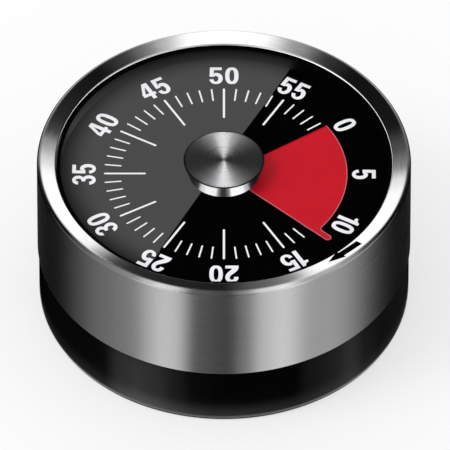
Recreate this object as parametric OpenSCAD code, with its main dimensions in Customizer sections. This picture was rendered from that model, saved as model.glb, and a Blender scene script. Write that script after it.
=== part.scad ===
// Wind-up visual kitchen timer.
// A steel band and a black base hold a spring movement with a bell. Turning the knob clockwise winds
// the spring and draws a red film out of the slit at 0, so that the red fan shows the minutes left.
// The dial faces +Z and the timer stands on its base at z = 0. Sizes are in millimetres.

/* [Case] */
// Outside diameter of the steel band
case_d = 80; // [78:0.5:90]
// Height from the table to the top of the rim
case_h = 39.2; // [38:0.2:46]
// Height of the steel band, rim included
band_h = 24.6; // [20:0.2:26]
// Sheet thickness of the steel band
band_wall = 0.8; // [0.5:0.1:1.2]
// Width of the sloping rim, seen from above
rim_w = 4.05; // [3:0.05:5]
// How far the rim falls from its outer to its inner edge
rim_drop = 0.9; // [0.7:0.1:2]
// Rounding of the rim's outer edge
rim_round = 0.5; // [0.2:0.1:0.8]
// How far the base stands in from the band
base_inset = 0.3; // [0.1:0.1:0.8]
// Wall thickness of the base
base_wall = 2; // [1.5:0.1:2.4]
// Thickness of the base's floor
floor_t = 2.2; // [1.6:0.1:3]
// Rounding of the base's bottom edge
base_round = 1.5; // [0.5:0.1:2.5]
// Height of the base's spigot inside the band
spigot_h = 3; // [2:0.5:6]

/* [Dial] */
// Depth of the dial below the top of the rim
dial_recess = 4.4; // [4:0.1:5.5]
// Thickness of the moulded number ring
dial_t = 1.5; // [1.2:0.1:2]
// Radius of the film that carries the minute marks
film_r = 26.9; // [25:0.1:27.5]
// Thickness of that film
film_t = 0.14; // [0.1:0.02:0.2]
// Radius of the hole in the film
film_hole_r = 5; // [4.9:0.1:6]
// Width of the ledge that the film lies on
ledge_w = 0.4; // [0.3:0.1:0.8]
// Thickness of that ledge
ledge_t = 0.5; // [0.3:0.1:0.8]
// Wall of the ring that lines the rim
liner_wall = 0.8; // [0.6:0.1:1.2]
// How far the liner stays below the rim's inner edge
liner_below = 0.6; // [0.3:0.1:1]
// Skin of the number ring left over its screw holes
dial_skin = 0.6; // [0.4:0.1:0.9]
// Direction of the 0 on the dial, in degrees from +X towards +Y
zero_angle = 30; // [0:5:90]

/* [Red disc] */
// How far the red film's edge stays inside the dial film's edge
disc_inset = 0.5; // [0.4:0.1:4]
// Thickness of the red film
disc_t = 0.14; // [0.1:0.02:0.2]
// Gap between the red film and the dial film
film_gap = 0.08; // [0.06:0.01:0.12]
// Minutes shown with the model at rest
minutes_set = 12.083333; // [5:1:55]
// Radius at the pointer's tip
pointer_r = 30.1; // [28:0.1:32]
// Width of the pointer
pointer_w = 1.5; // [1:0.1:2.5]
// Outside radius of the hub that the red film is fixed to
hub_r = 4.6; // [4:0.1:4.7]

/* [Knob] */
// Radius of the knob at its top
knob_top_r = 8.65; // [8:0.05:10]
// Radius of the knob at its foot
knob_foot_r = 7.6; // [7:0.05:8]
// How far the knob stands above the rim
knob_above = 0.1; // [0:0.1:2]
// Rounding of the knob's top edge
knob_round = 0.3; // [0.1:0.05:0.5]
// Thickness of the knob's face over its insert
knob_face_t = 1.1; // [0.8:0.1:1.5]
// Radius of the plastic insert in the knob
insert_r = 3.4; // [3:0.1:4]

/* [Movement] */
// Radius of the movement plates
plate_r = 30.4; // [29.6:0.1:31]
// Thickness of the movement plates
plate_t = 1.2; // [1:0.1:1.6]
// Room between the movement plates
plate_gap = 14; // [13.8:0.1:15]
// Radius of the winding arbor
arbor_r = 2; // [1.8:0.1:2.2]
// Radius of the winding arbor's lower pivot
foot_pivot_r = 1.5; // [1.2:0.1:1.7]
// Radius of the train arbors
train_r = 0.75; // [0.6:0.05:0.8]
// Radius of the train pivots
pivot_r = 0.45; // [0.3:0.05:0.5]
// Radius of the plate pillars
pillar_r = 1.8; // [1.6:0.1:2.2]
// Distance of the plate pillars from the middle
pillar_at = 26.4; // [26:0.1:27]
// Width of the winding arbor's collar
collar_w = 1.6; // [1:0.1:2]
// Thickness of that collar
collar_t = 0.8; // [0.6:0.1:1]
// Width of the clutch washer
washer_w = 3; // [2:0.1:4]
// Sheet thickness of the clutch washer
washer_t = 0.3; // [0.2:0.05:0.4]
// How far the clutch washer is dished
washer_dish = 0.4; // [0.2:0.05:0.5]
// Width of the mainspring strip
spring_w = 4.6; // [3.6:0.1:5.6]
// Room between the mainspring and the rear plate
spring_lift = 0.5; // [0.3:0.1:0.8]
// Thickness of the mainspring strip
spring_t = 0.3; // [0.2:0.05:0.4]
// Outside radius of the mainspring
spring_r = 11.6; // [10.5:0.1:11.8]
// Turns of the mainspring
spring_turns = 8; // [5:1:9]
// Radius of the post that holds the mainspring
post_r = 0.9; // [0.7:0.1:1]
// Wall of the mainspring's eye round that post
eye_wall = 0.35; // [0.25:0.05:0.5]

/* [Gear train] */
// Tooth size of the great wheel and its pinion
great_mod = 0.4; // [0.38:0.01:0.42]
// Tooth size of the finer wheels
fine_mod = 0.3; // [0.28:0.01:0.31]
// Teeth on the great wheel
great_teeth = 72; // [64:1:74]
// Teeth on the second pinion
second_leaves = 9; // [8:1:10]
// Teeth on the second and third wheels
fine_teeth = 48; // [44:1:50]
// Teeth on the third and escape pinions
fine_leaves = 8; // [8:1:9]
// Pressure angle of the teeth
pressure = 25; // [24:0.5:26]
// Play between meshing teeth
play = 0.14; // [0.1:0.02:0.2]
// Thickness of the great wheel
great_t = 1.2; // [0.8:0.1:1.4]
// Thickness of the finer wheels
wheel_t = 0.9; // [0.6:0.1:1]
// Length of the pinions
leaf_w = 1.8; // [1.4:0.1:2]
// Distance of the third arbor from the middle
third_at = 17; // [16.8:0.1:17.4]
// Distance of the escape arbor from the middle
escape_at = 18.5; // [18.3:0.1:18.9]
// Distance of the balance arbor from the middle
balance_at = 19.5; // [19.2:0.1:20]
// Radius of the escape wheel
escape_r = 5; // [4.8:0.1:5.1]
// Depth of the escape wheel's teeth
escape_depth = 1.4; // [1.3:0.1:1.6]
// Radius of the pallet pins
pin_r = 0.3; // [0.2:0.05:0.3]
// Distance between the escape and balance arbors
pallet_reach = 7; // [6.9:0.1:7.3]
// Radius of the balance wheel
balance_r = 5.6; // [5:0.1:5.7]
// Thickness of the balance wheel
balance_t = 1.3; // [0.8:0.1:1.5]
// Width of the balance wheel's rim and spoke
balance_rim = 1.2; // [0.8:0.1:1.6]
// Width of the pallet arms
pallet_w = 1.4; // [1:0.1:1.6]
// Wall of the bosses round the arbors
boss_w = 0.8; // [0.6:0.1:1]
// Room between the escape wheel and the rear plate
escape_lift = 1.7; // [1.2:0.1:2]
// Room between the escape wheel and the pallets
pallet_lift = 0.7; // [0.4:0.1:0.8]
// Room between the pallets and the balance wheel
balance_lift = 0.3; // [0.2:0.05:0.4]
// Room between the great wheel and the second wheel
second_lift = 1.1; // [0.9:0.1:1.4]
// Room between the second wheel and the third wheel
third_lift = 1.3; // [1.1:0.1:1.6]
// Room between the third wheel and the front plate
top_room = 1.1; // [0.6:0.1:1.4]

/* [Bell] */
// Radius of the bell
bell_r = 21; // [20:0.5:24]
// Height of the bell
bell_h = 7; // [6.6:0.1:7.6]
// Wall thickness of the bell
bell_t = 1; // [0.8:0.1:1.2]
// Height of the boss that the bell stands on
boss_h = 1.3; // [1:0.1:2]
// Room between the bell's rim and the rear plate
bell_room = 2; // [1.8:0.1:3]
// Depth of the bell's screw in its boss
bell_grip = 2; // [1.6:0.1:2.4]
// Distance of the sound slots from the middle
slot_at = 10; // [9:0.5:12]
// Length of the sound slots
slot_l = 7; // [4:0.5:8]
// Width of the sound slots
slot_w = 2; // [1:0.1:3]
// Distance of the hammer arbor from the middle
hammer_at = 17.4; // [17:0.1:18]
// Direction of the hammer arbor from +X
hammer_dir = 20; // [15:1:25]
// Length of the hammer arm
hammer_l = 11; // [10:0.1:11.4]
// Radius of the hammer's head
hammer_head_r = 1.4; // [1:0.1:1.6]
// Width of the hammer's levers
lever_w = 1.6; // [1.2:0.1:2]
// Radius of the hammer arbor
hammer_r = 1; // [0.8:0.1:1.1]
// Radius of the cam that lets the hammer go
cam_r = 6; // [5.6:0.1:6.4]
// Thickness of the cam and the levers
lever_t = 1; // [0.8:0.1:1.2]
// Room between the cam and the second wheel
cam_lift = 1; // [0.6:0.1:1.2]
// Depth of the notch in the cam
notch_d = 1.8; // [1.4:0.1:2.2]
// Width of the notch in the cam
notch_w = 3.2; // [2.8:0.1:4]
// How far the hammer arm stays below the bell's rim
arm_below = 1.2; // [1:0.1:1.5]
// Height of the hammer's head below its arm
head_low = 1; // [0.6:0.1:1.2]
// Height of the hammer's head above its arm
head_high = 0.8; // [0.4:0.1:1]
// How far the hammer's neck is cut in
neck_in = 0.6; // [0.4:0.1:0.7]
// Gap between the hammer's head and the bell
strike_gap = 0.6; // [0.5:0.05:1]
// Thickness of the hammer's leaf spring
leaf_t = 0.3; // [0.2:0.05:0.4]
// How far the leaf spring ends before the tail does
leaf_short = 2.5; // [2:0.1:4]
// Radius of the stud that holds the leaf spring
stud_r = 1; // [0.8:0.1:1.1]
// Place of the stud along the tail
stud_along = 3; // [2.6:0.1:3.6]
// Gap between the stud's middle and the tail
stud_gap = 3.6; // [3.2:0.1:4]

/* [Fixings] */
// Radius of the posts that join the base and the dial
case_post_r = 2.7; // [2.5:0.1:2.9]
// Room between those posts and the base's wall
post_room = 1.2; // [0.5:0.1:2]
// Radius of the case screws
case_screw_r = 1.25; // [1:0.05:1.3]
// Radius of the case screws' heads
case_head_r = 1.9; // [1.7:0.1:2]
// Height of the case screws' heads
case_head_h = 1.6; // [1.2:0.1:2]
// Length of the case screws under the head
case_screw_l = 12; // [10:0.5:16]
// Depth of the base under the case screws' heads
seat_t = 4; // [3:0.5:5]
// Radius of the movement screws
screw_r = 0.95; // [0.8:0.05:1]
// Radius of the movement screws' heads
head_r = 1.7; // [1.5:0.1:1.8]
// Height of the screw heads
head_h = 1.2; // [1:0.1:1.4]
// Length of the pillar screws under the head
screw_l = 4.2; // [3.6:0.1:4.8]
// How far a screw hole goes past the screw's tip
tip_room = 0.3; // [0.2:0.1:0.6]
// Radius of the magnets
magnet_r = 5; // [4:0.5:5]
// Thickness of the magnets
magnet_t = 2.4; // [1.5:0.1:3]
// Distance of the magnets from the middle
magnet_at = 27.5; // [27:0.1:28]
// How far the magnets lie inside the base's underside
magnet_in = 0.2; // [0.1:0.05:0.4]
// Wall of the magnets' pockets
pocket_wall = 1.2; // [0.8:0.1:1.4]

/* [Fits] */
// Running clearance of an arbor in its hole
run = 0.05; // [0.03:0.01:0.08]
// Clearance of pieces that are pushed together
fit = 0.03; // [0.02:0.01:0.05]
// Clearance of pieces that drop in
slack = 0.15; // [0.1:0.05:0.25]
// Room left between moving pieces
room = 0.2; // [0.15:0.05:0.25]

/* [Hidden] */
$fn = 96;

// Heights, from the table up
case_r = case_d / 2;
base_h = case_h - band_h;
dial_z = case_h - dial_recess;
dial_under = dial_z - dial_t;
bell_z = floor_t + boss_h;
rear_z = bell_z + bell_h + bell_room;
inside_z = rear_z + plate_t;
front_z = inside_z + plate_gap;
front_top = front_z + plate_t;

// Levels between the plates: the spring and the escapement from below, the wheels from above
spring_z = inside_z + spring_lift;
escape_wheel_z = inside_z + escape_lift;
pallet_z = escape_wheel_z + wheel_t + pallet_lift;
balance_z = pallet_z + wheel_t + balance_lift;
third_z = front_z - top_room - wheel_t;
second_z = third_z - third_lift - wheel_t;
great_z = second_z - second_lift - great_t;
cam_z = second_z + wheel_t + cam_lift;

// Case radii
band_in = case_r - band_wall;
base_r = case_r - base_inset;
base_in = base_r - base_wall;
rim_in = case_r - rim_w;
lip_out = rim_in + band_wall;
lip_low = case_h - rim_drop;
dial_out = band_in - slack;
liner_out = rim_in - slack;
liner_in = liner_out - liner_wall;
ring_in = film_r + slack;
ledge_in = ring_in - ledge_w;
case_post_at = base_in - post_room - case_post_r;
boss_post_r = head_r + room;
boss_at = plate_r - boss_post_r + slack;

// The two films are ramps that rise alike, so that one slides through the other's slit
pitch = disc_t + film_t + 2 * film_gap;
slit_near = 1;
slit_w = 2.5;
film_sweep = 360 - slit_w;
film_high = zero_angle + slit_near + slit_w - 360;
disc_r = film_r - disc_inset;
disc_angle = minutes_set * 6;
disc_lead = zero_angle - disc_angle;
disc_sweep = 354;
disc_z = dial_z + film_gap + pitch * (disc_angle + slit_near) / 360;
disc_top = disc_z + disc_t;
disc_rise = pitch * (360 - disc_angle) / 360;
hub_h = disc_t + pitch * disc_sweep / 360 + 0.3;

// Knob and winding arbor
knob_z = disc_top + disc_rise + slack;
knob_top = case_h + knob_above;
knob_hole_top = knob_top - knob_face_t;
flat_at = arbor_r - 0.6;
collar_r = arbor_r + collar_w;
washer_r = arbor_r + washer_w;
cam_hub_r = arbor_r + 1;

// Case screws, driven from below into the dial's posts
case_seat_z = base_h - seat_t;
case_screw_top = case_seat_z + case_screw_l;
case_turn = 30;
case_post_turns = [for (i = [0 : 2]) case_turn + 120 * i];
magnet_turns = [for (i = [0 : 2]) case_turn + 60 + 120 * i];
pocket_top = magnet_in + magnet_t + fit;
boss_turns = [50, 170, 290];
dial_hole_top = dial_z - dial_skin;
dial_screw_l = dial_hole_top - tip_room - front_z;
pillar_turns = [20, 110, 230, 320];

// Teeth
function polar(r, a) = [r * cos(a), r * sin(a)];
function involute(a) = tan(a) * 180 / PI - a;
function pitch_r(teeth, m) = teeth * m / 2;
function wheel_tip(m) = 0.7 * m;
function leaf_tip(m) = 0.85 * m;
tooth_clear = 0.1;
function mesh_at(a, b, m) = (a + b) * m / 2;
// Half of a tooth's angle at radius q
function half_tooth(q, teeth, m) =
  let (
    r = pitch_r(teeth, m),
    rb = r * cos(pressure),
    at_pitch = 90 / teeth - play / 4 / r * 180 / PI,
    a = q > rb ? acos(rb / q) : 0
  )
  at_pitch + involute(pressure) - involute(a);
// Outline of a gear, counter-clockwise, with a tooth on the +X axis
function gear(teeth, m, tip_r, root_r, steps) =
  let (
    rb = pitch_r(teeth, m) * cos(pressure),
    low = max(rb, root_r),
    up = [for (i = [0 : steps]) low + (tip_r - low) * i / steps],
    flank = root_r < rb ? concat([root_r], up) : up,
    last = len(flank) - 1
  )
  [
    for (k = [0 : teeth - 1])
      for (i = [0 : 2 * last + 1])
        let (q = flank[i <= last ? i : 2 * last + 1 - i])
        polar(q, 360 * k / teeth + (i <= last ? -1 : 1) * half_tooth(q, teeth, m))
  ];
// Turn of a gear that meshes with one that has a tooth at angle turn, and lies in direction dir from it
function meshed(turn, teeth, dir, teeth2) = dir + 180 + 180 / teeth2 + (dir - turn) * teeth / teeth2;
// Angle at the middle of a triangle with sides a and b that is closed by side c
function corner(a, b, c) = acos((a * a + b * b - c * c) / (2 * a * b));
function direction(from, to) = atan2(to[1] - from[1], to[0] - from[0]);

great_r = pitch_r(great_teeth, great_mod);
fine_r = pitch_r(fine_teeth, fine_mod);
second_at = mesh_at(great_teeth, second_leaves, great_mod);
fine_at = mesh_at(fine_teeth, fine_leaves, fine_mod);
second_dir = 180;
third_dir = second_dir + corner(second_at, third_at, fine_at);
escape_dir = third_dir + corner(third_at, escape_at, fine_at);
balance_dir = escape_dir + corner(escape_at, balance_at, pallet_reach);
second_p = polar(second_at, second_dir);
third_p = polar(third_at, third_dir);
escape_p = polar(escape_at, escape_dir);
balance_p = polar(balance_at, balance_dir);
second_turn = meshed(0, great_teeth, second_dir, second_leaves);
third_turn = meshed(0, fine_teeth, direction(second_p, third_p), fine_leaves);
escape_turn = meshed(0, fine_teeth, direction(third_p, escape_p), fine_leaves);

// Escapement: with the lever at rest both pins stand just outside the teeth
escape_teeth = 15;
pallet_span = 42;
pallet_dir = direction(escape_p, balance_p);
pin_at = escape_r + pin_r + 0.1;
escape_wheel_turn = pallet_dir + pallet_span - 90 / escape_teeth;
pin_p = [for (s = [-1, 1]) escape_p + polar(pin_at, pallet_dir + s * pallet_span)];

// Hammer: its tail lies along the cam's edge, and its head stands inside the bell
hammer_p = polar(hammer_at, hammer_dir);
tail_off = cam_r + slack + lever_w / 2;
tail_l = sqrt(hammer_at * hammer_at - tail_off * tail_off);
tail_touch = hammer_dir - acos(tail_off / hammer_at);
tail_dir = tail_touch + 270;
arm_z = bell_z + bell_h - arm_below - lever_t;
tail_z = cam_z;
bell_flat = bell_r - bell_h;
// Inside radius of the bell at a height above its foot
function bell_in(h) = bell_flat + sqrt(pow(bell_h - bell_t, 2) - pow(bell_h - h, 2));
head_at = bell_in(arm_z - head_low - bell_z) - hammer_head_r - strike_gap;
arm_dir = hammer_dir + 180 - corner(hammer_at, hammer_l, head_at);
head_p = hammer_p + polar(hammer_l, arm_dir);
stud_off = lever_w / 2 + stud_gap;
stud_p = hammer_p + polar(stud_along, tail_dir) + polar(stud_off, tail_dir + 90);
spring_post_p = polar(spring_r + post_r + 0.15, 75);

function arc(c, r, a, b, n) = [for (i = [0 : n]) c + polar(r, a + (b - a) * i / n)];

// A thin ramp that falls as it goes round; outline holds [degrees from the start, outer radius]
module ramp(r_in, start, z, t, outline) {
  n = len(outline) - 1;
  points = [
    for (o = outline)
      let (a = start + o[0], h = z - pitch * o[0] / 360, p = polar(r_in, a), q = polar(o[1], a))
      each [[p[0], p[1], h], [q[0], q[1], h], [q[0], q[1], h + t], [p[0], p[1], h + t]]
  ];
  sides = [
    for (i = [0 : n - 1])
      for (k = [0 : 3])
        let (a = 4 * i + k, b = 4 * i + (k + 1) % 4)
        each [[a, b, b + 4], [a, b + 4, a + 4]]
  ];
  ends = [[0, 2, 1], [0, 3, 2], [4 * n, 4 * n + 1, 4 * n + 2], [4 * n, 4 * n + 2, 4 * n + 3]];
  polyhedron(points, concat(sides, ends));
}

module bar(from, to, w, z, t) {
  l = norm(to - from);
  translate([from[0], from[1], z])
    rotate(direction(from, to))
      linear_extrude(t) {
        translate([0, -w / 2]) square([l, w]);
        circle(d = w);
        translate([l, 0]) circle(d = w);
      }
}

module at(p, z) {
  translate([p[0], p[1], z]) children();
}

module steel_band() {
  color("silver")
    rotate_extrude()
      polygon(concat(
        [[band_in, base_h], [case_r, base_h]],
        arc([case_r - rim_round, case_h - rim_round], rim_round, 0, 100, 5),
        [[rim_in + 0.15, lip_low + 0.05], [rim_in, lip_low - 0.1], [rim_in, dial_z], [lip_out, dial_z]],
        [[lip_out, lip_low - band_wall], [band_in, case_h - rim_round - band_wall]]
      ));
}

module base_cup() {
  color("#202022")
    difference() {
      union() {
        rotate_extrude()
          difference() {
            union() {
              square([base_r - base_round, base_h]);
              translate([0, base_round]) square([base_r, base_h - base_round]);
              translate([base_r - base_round, base_round]) circle(base_round);
              square([band_in - run, base_h + spigot_h]);
            }
            translate([0, floor_t]) square([base_in, base_h + spigot_h]);
          }
        cylinder(h = bell_z, r = screw_r + 3);
        for (a = case_post_turns)
          at(polar(case_post_at, a), 0) cylinder(h = base_h, r = case_post_r);
        for (a = magnet_turns)
          at(polar(magnet_at, a), 0) cylinder(h = pocket_top + pocket_wall, r = magnet_r + pocket_wall);
      }
      translate([0, 0, bell_z - bell_grip - tip_room]) cylinder(h = bell_grip + 1, r = screw_r + fit);
      for (a = case_post_turns)
        at(polar(case_post_at, a), 0) {
          translate([0, 0, -1]) cylinder(h = case_seat_z + 1, r = case_head_r + slack);
          cylinder(h = base_h + spigot_h + 1, r = case_screw_r + 0.1);
        }
      for (a = magnet_turns)
        at(polar(magnet_at, a), -1) cylinder(h = pocket_top + 1, r = magnet_r + slack);
      for (i = [0 : 5])
        rotate(60 * i) translate([slot_at, -slot_w / 2, -1]) cube([slot_l, slot_w, floor_t + 2]);
    }
}

module dial_plate() {
  color("#18181a")
    difference() {
      union() {
        rotate_extrude() {
          translate([ring_in, dial_under]) square([dial_out - ring_in, dial_t]);
          translate([ledge_in, dial_z - film_t - fit - ledge_t]) square([ring_in - ledge_in + 1, ledge_t]);
        }
        for (a = case_post_turns)
          at(polar(case_post_at, a), base_h) cylinder(h = dial_under - base_h + 0.5, r = case_post_r);
        for (a = boss_turns)
          at(polar(boss_at, a), front_top) cylinder(h = dial_under - front_top + 0.5, r = boss_post_r);
      }
      for (a = case_post_turns)
        at(polar(case_post_at, a), base_h - 1)
          cylinder(h = case_screw_top + tip_room - base_h + 1, r = case_screw_r + fit);
      for (a = boss_turns)
        at(polar(boss_at, a), front_top - 1) cylinder(h = dial_hole_top - front_top + 1, r = screw_r + fit);
      for (a = pillar_turns)
        at(polar(pillar_at, a), front_top) cylinder(h = head_h + room, r = head_r + room);
    }
}

module rim_liner() {
  color("#141416")
    translate([0, 0, dial_z])
      difference() {
        cylinder(h = lip_low - liner_below - dial_z, r = liner_out);
        translate([0, 0, -1]) cylinder(h = case_h, r = liner_in);
      }
}

module dial_film() {
  color("#101012")
    ramp(film_hole_r, film_high, dial_z - film_t + pitch * film_sweep / 360, film_t,
      [for (i = [0 : 72]) [film_sweep * i / 72, film_r]]);
}

module red_disc() {
  half = pointer_w / 2;
  wide = pointer_w / pointer_r * 180 / PI;
  tip = [
    for (i = [0 : 8])
      let (s = i / 8)
      [wide * s, pointer_r - half + sqrt(half * half - pow(half - s * pointer_w, 2))]
  ];
  first = wide + 0.3;
  rest = [for (i = [0 : 72]) [first + (disc_sweep - first) * i / 72, disc_r]];
  color("#c41d2b")
    ramp(hub_r + fit, disc_lead, disc_z, disc_t, concat(tip, rest));
}

module disc_hub() {
  color("#303032")
    translate([0, 0, disc_top - hub_h])
      difference() {
        cylinder(h = hub_h, r = hub_r);
        translate([0, 0, -1]) linear_extrude(hub_h + 2) arbor_outline(run);
      }
}

// Round outline with one flat side
module arbor_outline(gap) {
  intersection() {
    circle(arbor_r + gap);
    translate([-arbor_r - 1, -arbor_r - 1]) square([arbor_r + 1 + flat_at + gap, 2 * arbor_r + 2]);
  }
}

module knob() {
  color("#d4d4d6")
    rotate_extrude()
      polygon(concat(
        [[insert_r + fit, knob_z], [knob_foot_r, knob_z]],
        arc([knob_top_r - knob_round, knob_top - knob_round], knob_round, -8, 90, 5),
        [[0, knob_top], [0, knob_hole_top], [insert_r + fit, knob_hole_top]]
      ));
}

module knob_insert() {
  color("#3a3a3c")
    translate([0, 0, knob_z])
      difference() {
        cylinder(h = knob_hole_top - knob_z - fit, r = insert_r);
        translate([0, 0, -1]) linear_extrude(knob_hole_top - knob_z - 0.8 + 1) arbor_outline(fit);
      }
}

module main_arbor() {
  flat_z = dial_under - 1.5;
  color("#9a9a9e") {
    translate([0, 0, rear_z - 1]) cylinder(h = plate_t + 1 + room + 1, r = foot_pivot_r);
    translate([0, 0, inside_z + room]) cylinder(h = flat_z - inside_z - room, r = arbor_r);
    translate([0, 0, great_z - collar_t]) cylinder(h = collar_t, r = collar_r);
    translate([0, 0, flat_z - 0.5])
      linear_extrude(knob_hole_top - 1 - flat_z + 0.5) arbor_outline(0);
  }
}

module great_wheel() {
  root = second_at - pitch_r(second_leaves, great_mod) - leaf_tip(great_mod) - tooth_clear;
  color("#c8a44a")
    translate([0, 0, great_z])
      difference() {
        linear_extrude(great_t)
          polygon(gear(great_teeth, great_mod, great_r + wheel_tip(great_mod), root, 2));
        translate([0, 0, -1]) cylinder(h = great_t + 2, r = arbor_r + fit);
        for (i = [0 : 5])
          rotate(60 * i + 30) translate([great_r * 0.6, 0, -1]) cylinder(h = great_t + 2, r = great_r * 0.17);
      }
}

module clutch_washer() {
  color("#8c8c90")
    rotate_extrude()
      polygon([
        [arbor_r + fit, great_z + great_t + washer_dish], [washer_r, great_z + great_t],
        [washer_r, great_z + great_t + washer_t], [arbor_r + fit, great_z + great_t + washer_dish + washer_t]
      ]);
}

module trip_cam() {
  hub_z = great_z + great_t + washer_dish + washer_t;
  color("#c8a44a")
    difference() {
      union() {
        translate([0, 0, hub_z]) cylinder(h = front_z - room - hub_z, r = cam_hub_r);
        translate([0, 0, cam_z]) cylinder(h = lever_t, r = cam_r);
      }
      cylinder(h = front_top, r = arbor_r + fit);
      rotate(tail_touch - disc_angle)
        translate([cam_r - notch_d, -notch_w / 2, cam_z - 1]) cube([2 * notch_d, notch_w, lever_t + 2]);
    }
}

module mainspring() {
  inner = arbor_r + 0.5;
  steps = 24;
  end_a = 75;
  all = spring_turns * steps;
  grow = (spring_r - inner) / all;
  function coil(side) = [
    for (i = [0 : all])
      polar(inner + grow * i + side * spring_t / 2, end_a - 360 * (all - i) / steps)
  ];
  outer = coil(1);
  back = coil(-1);
  color("#6c7078")
    translate([0, 0, spring_z])
      linear_extrude(spring_w) {
        polygon(concat(outer, [for (i = [all : -1 : 0]) back[i]]));
        translate(spring_post_p)
          difference() {
            circle(post_r + fit + eye_wall);
            circle(post_r + fit);
          }
      }
}

module spring_post() {
  color("#9a9a9e")
    at(spring_post_p, rear_z) cylinder(h = spring_z + spring_w - rear_z, r = post_r);
}

// Holes that both plates have, for the arbors and the pillar screws, and room for the case posts
module plate_holes(z) {
  for (p = [second_p, third_p, escape_p, balance_p])
    at(p, z - 1) cylinder(h = plate_t + 2, r = pivot_r + run);
  for (a = pillar_turns)
    at(polar(pillar_at, a), z - 1) cylinder(h = plate_t + 2, r = screw_r + fit);
  for (a = case_post_turns)
    at(polar(case_post_at, a), z - 1) cylinder(h = plate_t + 2, r = case_post_r + room);
}

module front_plate() {
  color("#b4b6ba")
    difference() {
      translate([0, 0, front_z]) cylinder(h = plate_t, r = plate_r);
      translate([0, 0, front_z - 1]) cylinder(h = plate_t + 2, r = arbor_r + run);
      plate_holes(front_z);
      at(hammer_p, front_z - 1) cylinder(h = plate_t + 2, r = pivot_r + run);
      at(stud_p, front_z - 1) cylinder(h = plate_t + 2, r = stud_r + fit);
      for (a = boss_turns)
        at(polar(boss_at, a), front_z - 1) cylinder(h = plate_t + 2, r = screw_r + fit);
    }
}

module rear_plate() {
  color("#b4b6ba")
    difference() {
      translate([0, 0, rear_z]) cylinder(h = plate_t, r = plate_r);
      translate([0, 0, rear_z - 1]) cylinder(h = plate_t + 2, r = foot_pivot_r + run);
      plate_holes(rear_z);
      at(hammer_p, rear_z - 1) cylinder(h = plate_t + 2, r = hammer_r + run);
      at(spring_post_p, rear_z - 1) cylinder(h = plate_t + 2, r = post_r + fit);
      for (a = boss_turns)
        at(polar(boss_at, a), rear_z - 1) cylinder(h = plate_t + 2, r = head_r + 0.8);
    }
}

module plate_pillars() {
  color("#a0a2a6")
    for (a = pillar_turns)
      at(polar(pillar_at, a), inside_z)
        difference() {
          cylinder(h = plate_gap, r = pillar_r);
          translate([0, 0, -1]) cylinder(h = screw_l - plate_t + tip_room + 1, r = screw_r + fit);
          translate([0, 0, plate_gap - screw_l + plate_t - tip_room])
            cylinder(h = screw_l, r = screw_r + fit);
        }
}

// A slotted screw with its head on top, seated at z = 0
module screw(r, l, head, h) {
  difference() {
    union() {
      translate([0, 0, -l]) cylinder(h = l + 0.1, r = r);
      cylinder(h = h, r = head);
    }
    translate([-head - 1, -0.25, h * 0.55]) cube([2 * head + 2, 0.5, h]);
  }
}

module pillar_screws() {
  color("#8c8e92")
    for (a = pillar_turns) {
      at(polar(pillar_at, a), front_top) screw(screw_r, screw_l, head_r, head_h);
      at(polar(pillar_at, a), rear_z) rotate([180, 0, 0]) screw(screw_r, screw_l, head_r, head_h);
    }
}

module dial_screws() {
  color("#8c8e92")
    for (a = boss_turns)
      at(polar(boss_at, a), front_z) rotate([180, 0, 0]) screw(screw_r, dial_screw_l, head_r, head_h);
}

// An arbor between the plates, with a pivot in each
module train_arbor() {
  translate([0, 0, rear_z + 0.1]) cylinder(h = front_top - rear_z - 0.2, r = pivot_r);
  translate([0, 0, inside_z + room]) cylinder(h = plate_gap - 2 * room, r = train_r);
}

module pinion(teeth, m, at_r, wheel_r, z, turn) {
  root = at_r - wheel_r - wheel_tip(m) - tooth_clear;
  translate([0, 0, z])
    rotate(turn)
      linear_extrude(leaf_w) polygon(gear(teeth, m, pitch_r(teeth, m) + leaf_tip(m), root, 4));
}

module fine_wheel(z) {
  root = fine_r - leaf_tip(fine_mod) - tooth_clear;
  translate([0, 0, z])
    difference() {
      linear_extrude(wheel_t)
        polygon(gear(fine_teeth, fine_mod, fine_r + wheel_tip(fine_mod), root, 2));
      translate([0, 0, -1]) cylinder(h = wheel_t + 2, r = train_r + fit);
      for (i = [0 : 4])
        rotate(72 * i) translate([fine_r * 0.6, 0, -1]) cylinder(h = wheel_t + 2, r = fine_r * 0.22);
    }
}

module second_pinion() {
  color("#9a9a9e")
    at(second_p, 0) {
      train_arbor();
      pinion(second_leaves, great_mod, second_at, great_r, great_z + (great_t - leaf_w) / 2, second_turn);
    }
}

module second_wheel() {
  color("#e6e2d6") at(second_p, 0) fine_wheel(second_z);
}

module third_pinion() {
  color("#9a9a9e")
    at(third_p, 0) {
      train_arbor();
      pinion(fine_leaves, fine_mod, fine_at, fine_r, second_z + (wheel_t - leaf_w) / 2, third_turn);
    }
}

module third_wheel() {
  color("#e6e2d6") at(third_p, 0) fine_wheel(third_z);
}

module escape_pinion() {
  color("#9a9a9e")
    at(escape_p, 0) {
      train_arbor();
      pinion(fine_leaves, fine_mod, fine_at, fine_r, third_z + (wheel_t - leaf_w) / 2, escape_turn);
    }
}

module escape_wheel() {
  root = escape_r - escape_depth;
  step = 360 / escape_teeth;
  color("#e6e2d6")
    at(escape_p, escape_wheel_z)
      rotate(escape_wheel_turn)
        difference() {
          linear_extrude(wheel_t)
            polygon([
              for (i = [0 : escape_teeth - 1])
                each [
                  polar(root, step * i - 8), polar(escape_r, step * i - 1),
                  polar(escape_r, step * i + 1), polar(root, step * i + 6)
                ]
            ]);
          translate([0, 0, -1]) cylinder(h = wheel_t + 2, r = train_r + fit);
        }
}

module balance_arbor() {
  color("#9a9a9e") at(balance_p, 0) train_arbor();
}

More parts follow.
